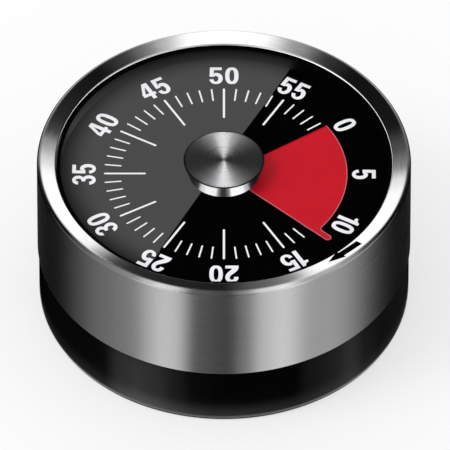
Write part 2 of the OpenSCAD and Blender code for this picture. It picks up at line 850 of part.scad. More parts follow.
module pallet_lever() {
  color("#c8a44a")
    difference() {
      union() {
        for (p = pin_p) bar(balance_p, p, pallet_w, pallet_z, wheel_t);
        at(balance_p, pallet_z) cylinder(h = wheel_t, r = train_r + boss_w);
      }
      at(balance_p, pallet_z - 1) cylinder(h = wheel_t + 2, r = train_r + fit);
      for (p = pin_p) at(p, pallet_z - 1) cylinder(h = wheel_t + 2, r = pin_r + fit);
    }
}

module pallet_pins() {
  low = escape_wheel_z - 0.3;
  color("#b4b6ba")
    for (p = pin_p) at(p, low) cylinder(h = pallet_z + wheel_t - low, r = pin_r);
}

module balance_wheel() {
  color("#c8a44a")
    at(balance_p, balance_z)
      difference() {
        union() {
          difference() {
            cylinder(h = balance_t, r = balance_r);
            translate([0, 0, -1]) cylinder(h = balance_t + 2, r = balance_r - balance_rim);
          }
          translate([balance_rim / 2 - balance_r, -balance_rim / 2, 0])
            cube([2 * balance_r - balance_rim, balance_rim, balance_t]);
          cylinder(h = balance_t, r = train_r + boss_w);
        }
        translate([0, 0, -1]) cylinder(h = balance_t + 2, r = train_r + fit);
      }
}

module hammer_arbor() {
  color("#9a9a9e")
    at(hammer_p, 0) {
      translate([0, 0, arm_z]) cylinder(h = front_z - room - arm_z, r = hammer_r);
      translate([0, 0, front_z - 1]) cylinder(h = plate_t + 0.9, r = pivot_r);
      translate([0, 0, inside_z + room]) cylinder(h = 0.6, r = hammer_r + 0.6);
    }
}

// A flat lever on the hammer arbor, from its hub to a rounded end
module hammer_lever(to, z) {
  difference() {
    union() {
      bar(hammer_p, to, lever_w, z, lever_t);
      at(hammer_p, z) cylinder(h = lever_t, r = hammer_r + boss_w);
    }
    at(hammer_p, z - 1) cylinder(h = lever_t + 2, r = hammer_r + fit);
  }
}

module hammer_tail() {
  color("#a8aaae") hammer_lever(hammer_p + polar(tail_l, tail_dir), tail_z);
}

module hammer_arm() {
  color("#a8aaae")
    difference() {
      hammer_lever(head_p, arm_z);
      at(head_p, arm_z - 1) cylinder(h = lever_t + 2, r = hammer_head_r - neck_in + fit);
    }
}

module hammer_head() {
  color("#c8a44a")
    at(head_p, 0) {
      translate([0, 0, arm_z - head_low]) cylinder(h = head_low, r = hammer_head_r);
      translate([0, 0, arm_z - 0.5]) cylinder(h = lever_t + 0.5, r = hammer_head_r - neck_in);
      translate([0, 0, arm_z + lever_t]) cylinder(h = head_high, r = hammer_head_r);
    }
}

module hammer_spring() {
  far = tail_l - leaf_short;
  eye = stud_r + fit + leaf_t;
  side = lever_w / 2 + slack + leaf_t / 2;
  end_p = hammer_p + polar(far, tail_dir) + polar(side, tail_dir + 90);
  color("#6c7078")
    difference() {
      union() {
        bar(stud_p + polar(eye - leaf_t / 2, direction(stud_p, end_p)), end_p, leaf_t, tail_z, lever_t);
        at(stud_p, tail_z) cylinder(h = lever_t, r = eye);
      }
      at(stud_p, tail_z - 1) cylinder(h = lever_t + 2, r = stud_r + fit);
    }
}

module spring_stud() {
  color("#9a9a9e")
    at(stud_p, tail_z - 0.3) cylinder(h = front_top - tail_z + 0.3, r = stud_r);
}

module bell() {
  color("#d8d9dc")
    translate([0, 0, bell_z])
      rotate_extrude()
        intersection() {
          difference() {
            union() {
              square([bell_flat, bell_h]);
              translate([bell_flat, bell_h]) circle(bell_h);
            }
            translate([0, bell_t]) square([bell_flat, bell_h]);
            translate([bell_flat, bell_h]) circle(bell_h - bell_t);
          }
          translate([screw_r + 0.1, 0]) square([bell_r + 1, bell_h]);
        }
}

module bell_screw() {
  color("#8c8e92")
    translate([0, 0, bell_z + bell_t]) screw(screw_r, bell_t + bell_grip, head_r + neck_in, head_h);
}

module magnets() {
  color("#3c3c40")
    for (a = magnet_turns)
      at(polar(magnet_at, a), magnet_in) cylinder(h = magnet_t, r = magnet_r);
}

module case_screws() {
  color("#8c8e92")
    for (a = case_post_turns)
      at(polar(case_post_at, a), case_seat_z)
        rotate([180, 0, 0]) screw(case_screw_r, case_screw_l, case_head_r, case_head_h);
}

steel_band();
base_cup();
dial_plate();
rim_liner();
dial_film();
red_disc();
disc_hub();
knob();
knob_insert();
main_arbor();
great_wheel();
clutch_washer();
trip_cam();
mainspring();
spring_post();
front_plate();
rear_plate();
plate_pillars();
pillar_screws();
dial_screws();
second_pinion();
second_wheel();
third_pinion();
third_wheel();
escape_pinion();
escape_wheel();
balance_arbor();
pallet_lever();
pallet_pins();
balance_wheel();
hammer_arbor();
hammer_tail();
hammer_arm();
hammer_head();
hammer_spring();
spring_stud();
bell();
bell_screw();
magnets();
case_screws();
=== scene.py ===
from math import atan, atan2, cos, degrees, pi, radians, sin, sqrt

import bmesh
import bpy
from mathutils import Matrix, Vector


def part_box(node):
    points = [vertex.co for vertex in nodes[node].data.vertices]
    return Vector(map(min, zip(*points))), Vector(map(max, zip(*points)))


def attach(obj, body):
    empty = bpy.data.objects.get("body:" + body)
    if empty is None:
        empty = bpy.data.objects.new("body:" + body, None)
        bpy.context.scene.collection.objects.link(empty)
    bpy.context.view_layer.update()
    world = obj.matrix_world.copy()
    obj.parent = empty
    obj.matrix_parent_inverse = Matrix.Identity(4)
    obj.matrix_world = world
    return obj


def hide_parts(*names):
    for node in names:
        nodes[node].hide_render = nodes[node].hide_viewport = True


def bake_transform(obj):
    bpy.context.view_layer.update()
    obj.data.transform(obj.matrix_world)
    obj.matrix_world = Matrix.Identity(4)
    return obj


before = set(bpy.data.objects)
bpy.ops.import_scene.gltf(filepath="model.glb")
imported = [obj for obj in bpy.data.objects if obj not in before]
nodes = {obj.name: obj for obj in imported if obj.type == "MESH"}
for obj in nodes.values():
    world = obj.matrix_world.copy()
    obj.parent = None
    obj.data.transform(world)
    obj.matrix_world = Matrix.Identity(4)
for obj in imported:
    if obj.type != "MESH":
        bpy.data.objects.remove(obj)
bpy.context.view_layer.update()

# BASE CUP
# The base is a deep cup moulded in gloss black plastic, with sound slots and screw wells under it.
# Three screws from below pull it up to the posts of the dial, and the steel band sits on its shoulder.
mm = 0.001
noise_low, noise_high = 0.3, 0.7


def plug(tree, value, socket):
    """Give a socket a plain value or the output of another node."""
    if isinstance(value, bpy.types.NodeSocket):
        tree.links.new(value, socket)
    else:
        socket.default_value = value


def add(tree, kind, **sockets):
    """Add a shader node with values for the sockets named."""
    made = tree.nodes.new("ShaderNode" + kind)
    for label, value in sockets.items():
        plug(tree, value, made.inputs[label.replace("_", " ")])
    return made


def start_finish(name, colour, roughness, metal=0.0):
    """A node finish with its even values set on the shader; returns it with its tree and shader."""
    finish = bpy.data.materials.new(name)
    finish.use_nodes = True
    shader = finish.node_tree.nodes["Principled BSDF"]
    shader.inputs["Base Color"].default_value = (*colour, 1.0)
    shader.inputs["Roughness"].default_value = roughness
    shader.inputs["Metallic"].default_value = metal
    return finish, finish.node_tree, shader


def grain(tree, per_metre, stretch=(1.0, 1.0, 1.0), detail=3.0):
    """A 0 to 1 noise fixed to the piece, finer along an axis whose stretch is larger."""
    place = add(tree, "TexCoord").outputs["Object"]
    stretched = add(tree, "Mapping", Vector=place, Scale=stretch).outputs["Vector"]
    return add(tree, "TexNoise", Vector=stretched, Scale=per_metre, Detail=detail).outputs[0]


def faded(tree, value, begin, end, first, last, curve="LINEAR"):
    """A level that goes from the first to the last as a value goes from its begin to its end."""
    fade = add(tree, "MapRange", Value=value, From_Min=begin, From_Max=end, To_Min=first, To_Max=last)
    fade.interpolation_type = curve
    return fade.outputs["Result"]


def spread(tree, shader, socket, pattern, low, high):
    """Feed a pattern to one of the shader's sockets as a span of values."""
    tree.links.new(faded(tree, pattern, noise_low, noise_high, low, high), shader.inputs[socket])


def tint(tree, shader, pattern, dark, light):
    """Let the colour wander between two shades with a pattern."""
    ramp = add(tree, "ValToRGB", Fac=pattern)
    shades = ramp.color_ramp.elements
    shades[0].position, shades[0].color = noise_low, (*dark, 1.0)
    shades[1].position, shades[1].color = noise_high, (*light, 1.0)
    tree.links.new(ramp.outputs["Color"], shader.inputs["Base Color"])


def emboss(tree, shader, pattern, depth):
    """Raise the surface by a pattern, to a depth in metres."""
    bump = add(tree, "Bump", Height=pattern, Strength=1.0, Distance=depth)
    tree.links.new(bump.outputs["Normal"], shader.inputs["Normal"])


def dress(finish, *names):
    """Give pieces of the frame their finish."""
    for name in names:
        for holder in nodes[name].material_slots:
            holder.material = finish


base_black, tree, shader = start_finish("base_gloss_black", (0.0015, 0.0015, 0.0017), 0.16)
tint(tree, shader, grain(tree, 700), (0.0011, 0.0011, 0.0013), (0.002, 0.002, 0.0022))
spread(tree, shader, "Roughness", grain(tree, 160, detail=5.0), 0.13, 0.2)
emboss(tree, shader, grain(tree, 1500), 0.0015 * mm)
dress(base_black, "base_cup")

# CASE SCREWS AND MAGNETS
# Three plated screws sit deep in wells under the base, beside three pressed ferrite magnets.
# The magnets are glued into pockets and hold the timer to a steel door.
screw_steel, tree, shader = start_finish("plain_steel", (0.46, 0.46, 0.47), 0.34, 1.0)
tint(tree, shader, grain(tree, 500), (0.40, 0.40, 0.41), (0.52, 0.52, 0.53))
spread(tree, shader, "Roughness", grain(tree, 300, (1.0, 8.0, 1.0)), 0.24, 0.42)
emboss(tree, shader, grain(tree, 900, (1.0, 12.0, 1.0)), 0.002 * mm)
dress(screw_steel, "case_screws")

ferrite, tree, shader = start_finish("pressed_ferrite", (0.035, 0.035, 0.037), 0.6)
tint(tree, shader, grain(tree, 2600, detail=6.0), (0.022, 0.022, 0.024), (0.055, 0.055, 0.058))
spread(tree, shader, "Roughness", grain(tree, 1800), 0.5, 0.75)
emboss(tree, shader, grain(tree, 3000, detail=5.0), 0.01 * mm)
dress(ferrite, "magnets")

# BELL AND HAMMER
# A plated steel bell dish hangs under the movement on one screw and is struck from inside.
# The hammer is a brass head on a steel arm, on an arbor between the plates, with a blued leaf spring.
bell_plate, tree, shader = start_finish("plated_bell", (0.74, 0.74, 0.76), 0.16, 1.0)
tint(tree, shader, grain(tree, 200), (0.70, 0.70, 0.72), (0.78, 0.78, 0.80))
spread(tree, shader, "Roughness", grain(tree, 700, (1.0, 1.0, 6.0)), 0.1, 0.24)
emboss(tree, shader, grain(tree, 1200), 0.001 * mm)
dress(bell_plate, "bell")
dress(screw_steel, "bell_screw", "hammer_arbor", "hammer_arm", "hammer_tail", "spring_stud")

brass, tree, shader = start_finish("stamped_brass", (0.60, 0.42, 0.15), 0.3, 1.0)
tint(tree, shader, grain(tree, 260, detail=5.0), (0.52, 0.35, 0.11), (0.66, 0.47, 0.19))
spread(tree, shader, "Roughness", grain(tree, 600, (1.0, 9.0, 1.0)), 0.22, 0.4)
emboss(tree, shader, grain(tree, 1500, (1.0, 10.0, 1.0)), 0.0015 * mm)
dress(brass, "hammer_head")

blued_strip, tree, shader = start_finish("blued_strip", (0.055, 0.075, 0.14), 0.28, 1.0)
tint(tree, shader, grain(tree, 140), (0.04, 0.05, 0.10), (0.09, 0.11, 0.19))
spread(tree, shader, "Roughness", grain(tree, 500, (6.0, 6.0, 1.0)), 0.2, 0.38)
emboss(tree, shader, grain(tree, 1600, (1.0, 1.0, 8.0)), 0.001 * mm)

# The leaf is held by a stud on the plate and bends as the tail pushes it, so it is sliced along its length.
stud_low, stud_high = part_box("spring_stud")
leaf_stud = (stud_low + stud_high) / 2
leaf_mesh = nodes["hammer_spring"].data.copy()
leaf_mesh.materials.clear()
leaf_mesh.materials.append(blued_strip)
leaf_tip = max((v.co for v in leaf_mesh.vertices), key=lambda place: (place.xy - leaf_stud.xy).length)
leaf_way = Vector((leaf_tip.x - leaf_stud.x, leaf_tip.y - leaf_stud.y, 0))
leaf_slices = 18
weld = 0.001


def sharp_corners(mesh, angle=30.0):
    """Keep corners crisp and everything flatter smooth."""
    mesh.set_sharp_from_angle(angle=radians(angle))


shape = bmesh.new()
shape.from_mesh(leaf_mesh)
bmesh.ops.remove_doubles(shape, verts=shape.verts, dist=weld * mm)
for i in range(1, leaf_slices):
    everything = shape.verts[:] + shape.edges[:] + shape.faces[:]
    cut = leaf_stud + leaf_way * i / leaf_slices
    bmesh.ops.bisect_plane(shape, geom=everything, plane_co=cut, plane_no=leaf_way)
shape.to_mesh(leaf_mesh)
shape.free()
if "custom_normal" in leaf_mesh.attributes:
    leaf_mesh.attributes.remove(leaf_mesh.attributes["custom_normal"])
sharp_corners(leaf_mesh)
hammer_leaf = bpy.data.objects.new("hammer_leaf", leaf_mesh)
bpy.context.scene.collection.objects.link(hammer_leaf)
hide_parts("hammer_spring")
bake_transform(hammer_leaf)

# MOVEMENT
# Two steel plates on pillars hold the wheel train: a mainspring, brass stampings and moulded wheels.
# The wheels run on steel pinions, from the great wheel on the main arbor up to the balance.
dress(screw_steel, "front_plate", "rear_plate", "plate_pillars", "pillar_screws", "dial_screws")
dress(screw_steel, "main_arbor", "spring_post", "second_pinion", "third_pinion", "escape_pinion")
dress(screw_steel, "balance_arbor", "pallet_pins", "clutch_washer")
dress(brass, "great_wheel", "trip_cam", "pallet_lever", "balance_wheel")
dress(blued_strip, "mainspring")

nylon, tree, shader = start_finish("moulded_nylon", (0.78, 0.75, 0.66), 0.42)
tint(tree, shader, grain(tree, 180, detail=4.0), (0.72, 0.69, 0.59), (0.82, 0.80, 0.72))
spread(tree, shader, "Roughness", grain(tree, 420), 0.36, 0.52)
emboss(tree, shader, grain(tree, 1300), 0.003 * mm)
dress(nylon, "second_wheel", "third_wheel", "escape_wheel")

hub_black, tree, shader = start_finish("hub_black", (0.025, 0.025, 0.026), 0.5)
tint(tree, shader, grain(tree, 500), (0.02, 0.02, 0.021), (0.032, 0.032, 0.033))
spread(tree, shader, "Roughness", grain(tree, 800), 0.42, 0.6)
emboss(tree, shader, grain(tree, 2200), 0.004 * mm)
dress(hub_black, "disc_hub", "knob_insert")

# DIAL RING AND LINER
# The ring round the dial is one gloss black moulding, whose posts reach down to the movement and the base.
# A satin black liner stands on it and fills the inside of the metal rim.
dial_black, tree, shader = start_finish("dial_gloss_black", (0.001, 0.001, 0.0012), 0.014)
tint(tree, shader, grain(tree, 300), (0.0008, 0.0008, 0.001), (0.0013, 0.0013, 0.0015))
spread(tree, shader, "Roughness", grain(tree, 240, detail=4.0), 0.01, 0.018)
dress(dial_black, "dial_plate")

liner_black, tree, shader = start_finish("liner_satin_black", (0.0015, 0.0015, 0.0017), 0.2)
tint(tree, shader, grain(tree, 600), (0.0011, 0.0011, 0.0013), (0.002, 0.002, 0.0022))
spread(tree, shader, "Roughness", grain(tree, 500), 0.16, 0.24)
emboss(tree, shader, grain(tree, 1200), 0.001 * mm)
dress(liner_black, "rim_liner")
nodes["rim_liner"].visible_glossy = False

# NUMBERS
# The minutes 0 to 55 are printed in white ink on the ring, in fives, with their heads outward.
# The figures are plain, heavy and narrow; the coat of ink stands a little proud of the plastic.
dial_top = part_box("dial_plate")[1].z / mm
ink_t = 0.02
figure_foot = 27.35
figure_h = 5.15
figure_gap = 0.45
print_thinner = 0.045
zero_at = 30.0


def round_run(cx, cy, rx, ry, start, end, square=2.0, steps=16):
    """Points along an ellipse between two angles; a larger square makes it boxier."""
    run = []
    for i in range(steps + 1):
        a = radians(start + (end - start) * i / steps)
        across = abs(cos(a)) ** (2 / square) * (1 if cos(a) >= 0 else -1)
        up = abs(sin(a)) ** (2 / square) * (1 if sin(a) >= 0 else -1)
        run.append((cx + rx * across, cy + ry * up))
    return run


def bend(a, b, c, d, steps=10):
    """Points along one cubic curve."""
    run = []
    for i in range(steps + 1):
        t = i / steps
        s = 1 - t
        pulls = (s ** 3, 3 * s * s * t, 3 * s * t * t, t ** 3)
        run.append(tuple(sum(pull * hold[k] for pull, hold in zip(pulls, (a, b, c, d))) for k in (0, 1)))
    return run


# Each figure has a width and its outlines, in millimetres up from the foot.
figures = {
    "0": (2.95, [
        round_run(1.475, figure_h / 2, 1.475, figure_h / 2, 0, 350, 2.5, 35),
        round_run(1.475, figure_h / 2, 0.48, 1.68, 0, 350, 2.5, 35),
    ]),
    "1": (1.9, [
        [(1.9, 0), (1.9, figure_h)]
        + bend((1.15, figure_h), (1.02, 4.62), (0.6, 4.36), (0.0, 4.32))
        + [(0.0, 3.6), (0.85, 3.6), (0.85, 0)],
    ]),
    "2": (2.9, [
        [(0, 0), (2.9, 0), (2.9, 0.95)]
        + bend((1.45, 0.95), (1.72, 1.62), (2.9, 2.2), (2.9, 3.62))
        + round_run(1.45, 3.66, 1.45, 1.49, 0, 180)
        + [(0.0, 3.38), (1.02, 3.38)]
        + round_run(1.46, 3.66, 0.44, 0.6, 180, 0)
        + bend((1.9, 3.62), (1.9, 2.75), (0.0, 2.05), (0.0, 0.62)),
    ]),
    "3": (2.9, [
        round_run(1.45, 1.52, 1.45, 1.52, 182, 415)
        + round_run(1.42, 3.78, 1.38, 1.37, -46, 178)
        + round_run(1.42, 3.74, 0.40, 0.56, 178, -80)
        + [(0.98, 3.08), (0.98, 2.3)]
        + round_run(1.45, 1.52, 0.43, 0.66, 80, -178),
    ]),
    "4": (3.05, [
        [(1.62, 0), (2.6, 0), (2.6, 1.1), (3.05, 1.1), (3.05, 1.98), (2.6, 1.98), (2.6, figure_h)]
        + [(1.35, figure_h), (0, 2.08), (0, 1.1), (1.62, 1.1)],
        [(1.62, 1.98), (1.62, 3.85), (0.8, 1.98)],
    ]),
    "5": (2.95, [
        [(2.74, figure_h), (0.12, figure_h), (0.02, 2.25), (0.98, 2.25)]
        + round_run(1.44, 1.66, 0.5, 0.86, 135, -176)
        + round_run(1.475, 1.74, 1.475, 1.74, 188, 462, 2.15, 26)
        + [(1.02, 3.1), (1.04, 4.24), (2.74, 4.24)],
    ]),
}


def outward(angle):
    """The unit vector from the dial's centre towards an angle in degrees."""
    return Vector((cos(radians(angle)), sin(radians(angle))))


def clockwise(angle):
    """The unit vector round the dial, the way the minutes run."""
    return Vector((sin(radians(angle)), -cos(radians(angle))))


def filled(name, outlines, thinner):
    """A flat mesh, facing up, of outlines drawn in all round; an outline inside another is a hole."""
    drawing = bpy.data.curves.new(name, "CURVE")
    drawing.dimensions = "2D"
    drawing.fill_mode = "FRONT"
    drawing.offset = -thinner
    for outline in outlines:
        spline = drawing.splines.new("POLY")
        spline.points.add(len(outline) - 1)
        for point, (x, y) in zip(spline.points, outline):
            point.co = (x, y, 0, 1)
        spline.use_cyclic_u = True
    sketch = bpy.data.objects.new(name + "_sketch", drawing)
    bpy.context.scene.collection.objects.link(sketch)
    mesh = bpy.data.meshes.new_from_object(sketch.evaluated_get(bpy.context.evaluated_depsgraph_get()))
    bpy.data.objects.remove(sketch)
    bpy.data.curves.remove(drawing)
    mesh.name = name
    shape = bmesh.new()
    shape.from_mesh(mesh)
    bmesh.ops.remove_doubles(shape, verts=shape.verts, dist=weld)
    bmesh.ops.dissolve_degenerate(shape, edges=shape.edges, dist=weld)
    for face in shape.faces:
        face.smooth = False
        if face.normal.z < 0:
            face.normal_flip()
    shape.to_mesh(mesh)
    shape.free()
    return mesh


def put_piece(name, mesh, body, slot, *finishes):
    """Set a finished mesh, in metres, on its body."""
    piece = bpy.data.objects.new(name, mesh)
    bpy.context.scene.collection.objects.link(piece)
    for finish in finishes:
        mesh.materials.append(finish)
    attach(piece, body)
    return piece


def coat_of_ink(piece):
    """Give flat print its thickness, above the surface it lies on."""
    coat = piece.modifiers.new("ink", "SOLIDIFY")
    coat.thickness = ink_t * mm
    coat.offset = 1.0


def white_print(name):
    """White printing ink, a little uneven in cover, with a soft sheen."""
    finish, tree, shader = start_finish(name, (0.92, 0.93, 0.955), 0.42)
    tint(tree, shader, grain(tree, 1500, detail=4.0), (0.89, 0.90, 0.94), (0.94, 0.945, 0.965))
    spread(tree, shader, "Roughness", grain(tree, 2200), 0.36, 0.5)
    emboss(tree, shader, grain(tree, 4000), 0.001 * mm)
    return finish


number_outlines = []
for minute in range(0, 60, 5):
    word = str(minute)
    turn = zero_at - 6 * minute
    start = -(sum(figures[f][0] for f in word) + figure_gap * (len(word) - 1)) / 2
    for f in word:
        for outline in figures[f][1]:
            number_outlines.append([
                outward(turn) * (figure_foot + y) + clockwise(turn) * (start + x) for x, y in outline
            ])
        start += figures[f][0] + figure_gap
number_mesh = filled("numbers", number_outlines, print_thinner)
for vertex in number_mesh.vertices:
    vertex.co = Vector((vertex.co.x, vertex.co.y, dial_top)) * mm
numbers = put_piece("numbers", number_mesh, "case", "dial_film", white_print("number_ink"))
coat_of_ink(numbers)

# DIAL FILM
# The dial's middle is a thin gloss black film, cut from edge to hole at 0 and set as an easy ramp.
# The red film turns through that cut, so the black one covers what the timer hasn't been wound to.
ramp_pitch = 0.44
film_t = 0.14
film_sweep = 357.5
film_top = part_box("dial_film")[1].z / mm
cut_past = 1.0
film_from = zero_at + cut_past - film_sweep
film_hole = 5.0
film_edge = 26.47
film_free, film_bend = 2.5, 5.0
ring_in = 27.04
level_from = 0.6


def mesh_of(name, points, faces):
    """A mesh of points, in metres, and faces."""
    mesh = bpy.data.meshes.new(name)
    mesh.from_pydata(points, [], faces)
    return mesh


def ramp_mesh(name, angles, high_z, thick, across):
    """A thin closed sheet that sinks anticlockwise; across gives its (radius, height) at an angle."""
    points = []
    for angle in angles:
        row = across(angle, high_z - ramp_pitch * (angle - angles[0]) / 360)
        points += [Vector((*(outward(angle) * r), z - low)) * mm for r, z in row for low in (thick, 0)]
    wide = 2 * len(row)
    section = list(range(0, wide, 2)) + list(range(wide - 1, 0, -2))
    faces = [section]
    for a in range(0, len(points) - wide, wide):
        b = a + wide
        for j in range(0, wide - 2, 2):
            faces += [(a + j + 1, a + j + 3, b + j + 3, b + j + 1), (a + j, b + j, b + j + 2, a + j + 2)]
        faces += [(b - 2, b + wide - 2, b + wide - 1, b - 1), (a, a + 1, b + 1, b)]
    faces.append([len(points) - wide + i for i in reversed(section)])
    mesh = mesh_of(name, points, faces)
    shading = []
    for face in mesh.polygons:
        face.use_smooth = True
        facing = face.normal.copy()
        if abs(facing.z) > level_from:
            facing = Vector((0, 0, 1 if facing.z > 0 else -1))
        shading += [facing] * len(face.loop_indices)
    mesh.normals_split_custom_set(shading)
    return mesh


def film_across(angle, top):
    """The film at an angle: its edge is bent down to the ring, but stands free for the tab by the cut."""
    bent = min(max((angle - film_from - film_free) / film_bend, 0.0), 1.0)
    return [(film_hole, top), (film_edge, top), (ring_in, top + (dial_top - top) * bent)]


film_steps = 144
film_angles = [film_from + film_sweep * i / film_steps for i in range(film_steps + 1)]
film_mesh = ramp_mesh("dial_sheet", film_angles, film_top, film_t, film_across)
dial_sheet = put_piece("dial_sheet", film_mesh, "case", "dial_film", dial_black)
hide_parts("dial_film")

# MINUTE MARKS
# Sixty fine white lines are printed on the film, a long one at each five minutes.
# They are screen printed in one go with round ends, and lie on the ramp.
mark_out = 25.65
long_in, long_w = 16.7, 0.46
short_in, short_w = 22.0, 0.34
mark_points, mark_faces = [], []
for minute in range(60):
    turn = zero_at - 6 * minute
    inner, width = (long_in, long_w) if minute % 5 == 0 else (short_in, short_w)
    z = film_top - ramp_pitch * (turn - film_from) / 360
    half = width / 2
    outline = round_run(inner + half, 0, half, half, 90, 270, steps=8)
    outline += round_run(mark_out - half, 0, half, half, -90, 90, steps=8)
    first = len(mark_points)
    for along, across in outline:
        place = outward(turn) * along - clockwise(turn) * across
        mark_points.append(Vector((*place, z)) * mm)
    mark_faces.append(range(first, len(mark_points)))
mark_mesh = mesh_of("minute_marks", mark_points, mark_faces)
minute_marks = put_piece("minute_marks", mark_mesh, "case", "dial_film", white_print("mark_ink"))
coat_of_ink(minute_marks)

# RED FILM
# The time left is shown by a red film with a rounded pointer tab, on a hub that turns with the knob.
# It is satin red, and its cut edge is painted pale pink, a painted highlight that shows as a thin light
# line.
red_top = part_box("red_disc")[1].z / mm
red_lead = -42.5
red_sweep = 354.0
red_r = 26.4
red_hole = 4.63
tab_r = 30.1
tab_w = 1.5
tab_round = tab_w / 2
notch_round = 0.8
notch_side = tab_w + notch_round
notch_mid = Vector((sqrt((red_r + notch_round) ** 2 - notch_side ** 2), notch_side))
notch_turn = degrees(atan2(notch_mid.y, notch_mid.x))


def red_reach(angle):
    """Outer radius of the red film at an angle behind its leading edge."""
    ray = outward(angle)
    if angle >= notch_turn:
        return red_r
    if ray.y > 0 and tab_w / ray.y * ray.x < notch_mid.x:
        near = notch_mid.dot(ray)
        return near - sqrt(max(near * near - notch_mid.length_squared + notch_round ** 2, 0.0))
    middle = Vector((tab_r - tab_round, tab_round))
    near = middle.dot(ray)
    end = near + sqrt(max(near * near - middle.length_squared + tab_round ** 2, 0.0))
    return end if ray.y <= 0 else min(end, tab_w / ray.y)


tab_steps, tab_span = 42, 5.25
red_steps = 140
behind = [tab_span * i / tab_steps for i in range(tab_steps)]
behind += [tab_span + (red_sweep - tab_span) * i / red_steps for i in range(red_steps + 1)]
red_mesh = ramp_mesh(
    "red_sheet", [red_lead + a for a in behind], red_top, film_t,
    lambda angle, top: [(red_hole, top), (red_reach(angle - red_lead), top)],
)

red_satin, tree, shader = start_finish("red_satin_film", (0.58, 0.004, 0.016), 0.42)
tint(tree, shader, grain(tree, 220, detail=4.0), (0.56, 0.0035, 0.015), (0.60, 0.0046, 0.0175))
spread(tree, shader, "Roughness", grain(tree, 900), 0.36, 0.5)
emboss(tree, shader, grain(tree, 3500), 0.0008 * mm)
shader.inputs["Specular IOR Level"].default_value = 0.15

# Painted highlight: pale pink for the light that the film's cut edge catches, on its sides and as a
# hairline round its top.
painted_edge_highlight, tree, shader = start_finish("red_cut_edge", (0.66, 0.14, 0.18), 0.4)
tint(tree, shader, grain(tree, 1500), (0.62, 0.11, 0.15), (0.70, 0.18, 0.22))
spread(tree, shader, "Roughness", grain(tree, 1200), 0.34, 0.48)

red_sheet = put_piece("red_sheet", red_mesh, "red_fan", "red_film", red_satin, painted_edge_highlight)
# The sides of the film take the painted edge highlight.
for face in red_mesh.polygons:
    face.material_index = 0 if abs(face.normal.z) > level_from else 1
red_sheet.visible_glossy = False
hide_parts("red_disc")

# A pale pink hairline is laid all round the top of the red, a painted highlight along its edge.
border_w = 0.17


def red_outline(inset):
    """The red film's outline, drawn in by an inset, with its leading edge along the first axis."""
    r, notch_r = red_r - inset, notch_round + inset
    run = [(red_hole, inset)]
    run += round_run(tab_r - tab_round, tab_round, tab_round - inset, tab_round - inset, -90, 90, steps=12)
    run += round_run(*notch_mid, notch_r, notch_r, 270, 180 + notch_turn, steps=8)
    return run + round_run(0, 0, r, r, notch_turn, red_sweep, steps=120)[1:]


border_points, border_faces = [], []
for pair in zip(red_outline(0.0), red_outline(border_w)):
    for x, y in pair:
        behind_lead = degrees(atan2(y, x)) % 360
        place = outward(red_lead + degrees(atan2(y, x))) * sqrt(x * x + y * y)
        border_points.append(Vector((*place, red_top - ramp_pitch * behind_lead / 360)) * mm)
for i in range(0, len(border_points) - 2, 2):
    border_faces.append((i, i + 2, i + 3, i + 1))
border_mesh = mesh_of("red_highlight_border", border_points, border_faces)
red_highlight_border = put_piece("red_highlight_border", border_mesh, "red_fan", "red_film", painted_edge_highlight)
red_highlight_border.visible_glossy = False
coat_of_ink(red_highlight_border)

# STEEL BAND
# A sleeve of stainless steel is drawn and rolled over at the top into a sloping rim round the dial.
# The wall is brushed round and round, the rim is polished brighter, and its lip turns down to the dial.
band_low, band_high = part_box("steel_band")
case_r = band_high.x / mm
case_h = band_high.z / mm
band_foot = band_low.z / mm
band_wall = 0.8
rim_round = 1.05
rim_w = 4.05
rim_in = case_r - rim_w
slope_from, rim_fall = 0.15, 0.85
lip_round = 0.42
foot_round = 0.15
under_lip, under_rim, under_wall = 1.7, 1.4, 1.3
turns = 288
brace_over, brace_at = 1.0, 0.05
rim_top = round_run(case_r - rim_round, case_h - rim_round, rim_round, rim_round, 0, 90, steps=18)
lip_edge = (rim_in + slope_from, case_h - rim_fall)
rim_slope = (rim_top[-1][1] - lip_edge[1]) / (rim_top[-1][0] - lip_edge[0])


def rim_z(r):
    """Height of the sloping rim at a radius."""
    return lip_edge[1] + (r - lip_edge[0]) * rim_slope


lip_fall = 90 + degrees(atan(rim_slope))
lip_mid = (rim_in + lip_round, rim_z(rim_in + lip_round) - lip_round * sqrt(1 + rim_slope ** 2))
wall_line = [(case_r - band_wall, band_foot)]
wall_line += round_run(case_r - foot_round, band_foot + foot_round, foot_round, foot_round, -90, 0, steps=4)
lip_line = round_run(*lip_mid, lip_round, lip_round, lip_fall, 180, steps=6)
lip_line += [(rim_in, dial_top), (rim_in + band_wall, dial_top)]
lip_line += [(rim_in + band_wall, case_h - under_lip)]
under_edge = (rim_top[-1][0], case_h - under_rim)
shell_line = wall_line + rim_top + [under_edge, (case_r - band_wall, case_h - under_wall)]
rim_line = [under_edge, rim_top[-1]] + lip_line


def braced(outline):
    """Add a point close to each end of every long straight, so that shading turns only at the corners."""
    line = []
    for a, b in zip(outline, outline[1:] + outline[:1]):
        line.append(a)
        long = sqrt((b[0] - a[0]) ** 2 + (b[1] - a[1]) ** 2)
        if long > brace_over:
            for t in (brace_at / long, 1 - brace_at / long):
                line.append((a[0] + (b[0] - a[0]) * t, a[1] + (b[1] - a[1]) * t))
    return line


def turned_mesh(name, outline, steps, finish_of):
    """Turn a closed outline of (radius, height) about the axis; finish_of numbers the finish of an edge."""
    outline = braced(outline)
    points = []
    for i in range(steps):
        direction = outward(360 * i / steps)
        points += [Vector((*(direction * r), z)) * mm for r, z in outline]
    count = len(outline)
    faces, picked = [], []
    for i in range(steps):
        here, there = i * count, (i + 1) % steps * count
        for j in range(count):
            k = (j + 1) % count
            faces.append((here + j, there + j, there + k, here + k))
            picked.append(int(finish_of(outline[j], outline[k])))
    mesh = mesh_of(name, points, faces)
    for face, pick in zip(mesh.polygons, picked):
        face.material_index = pick
        face.use_smooth = True
    return mesh


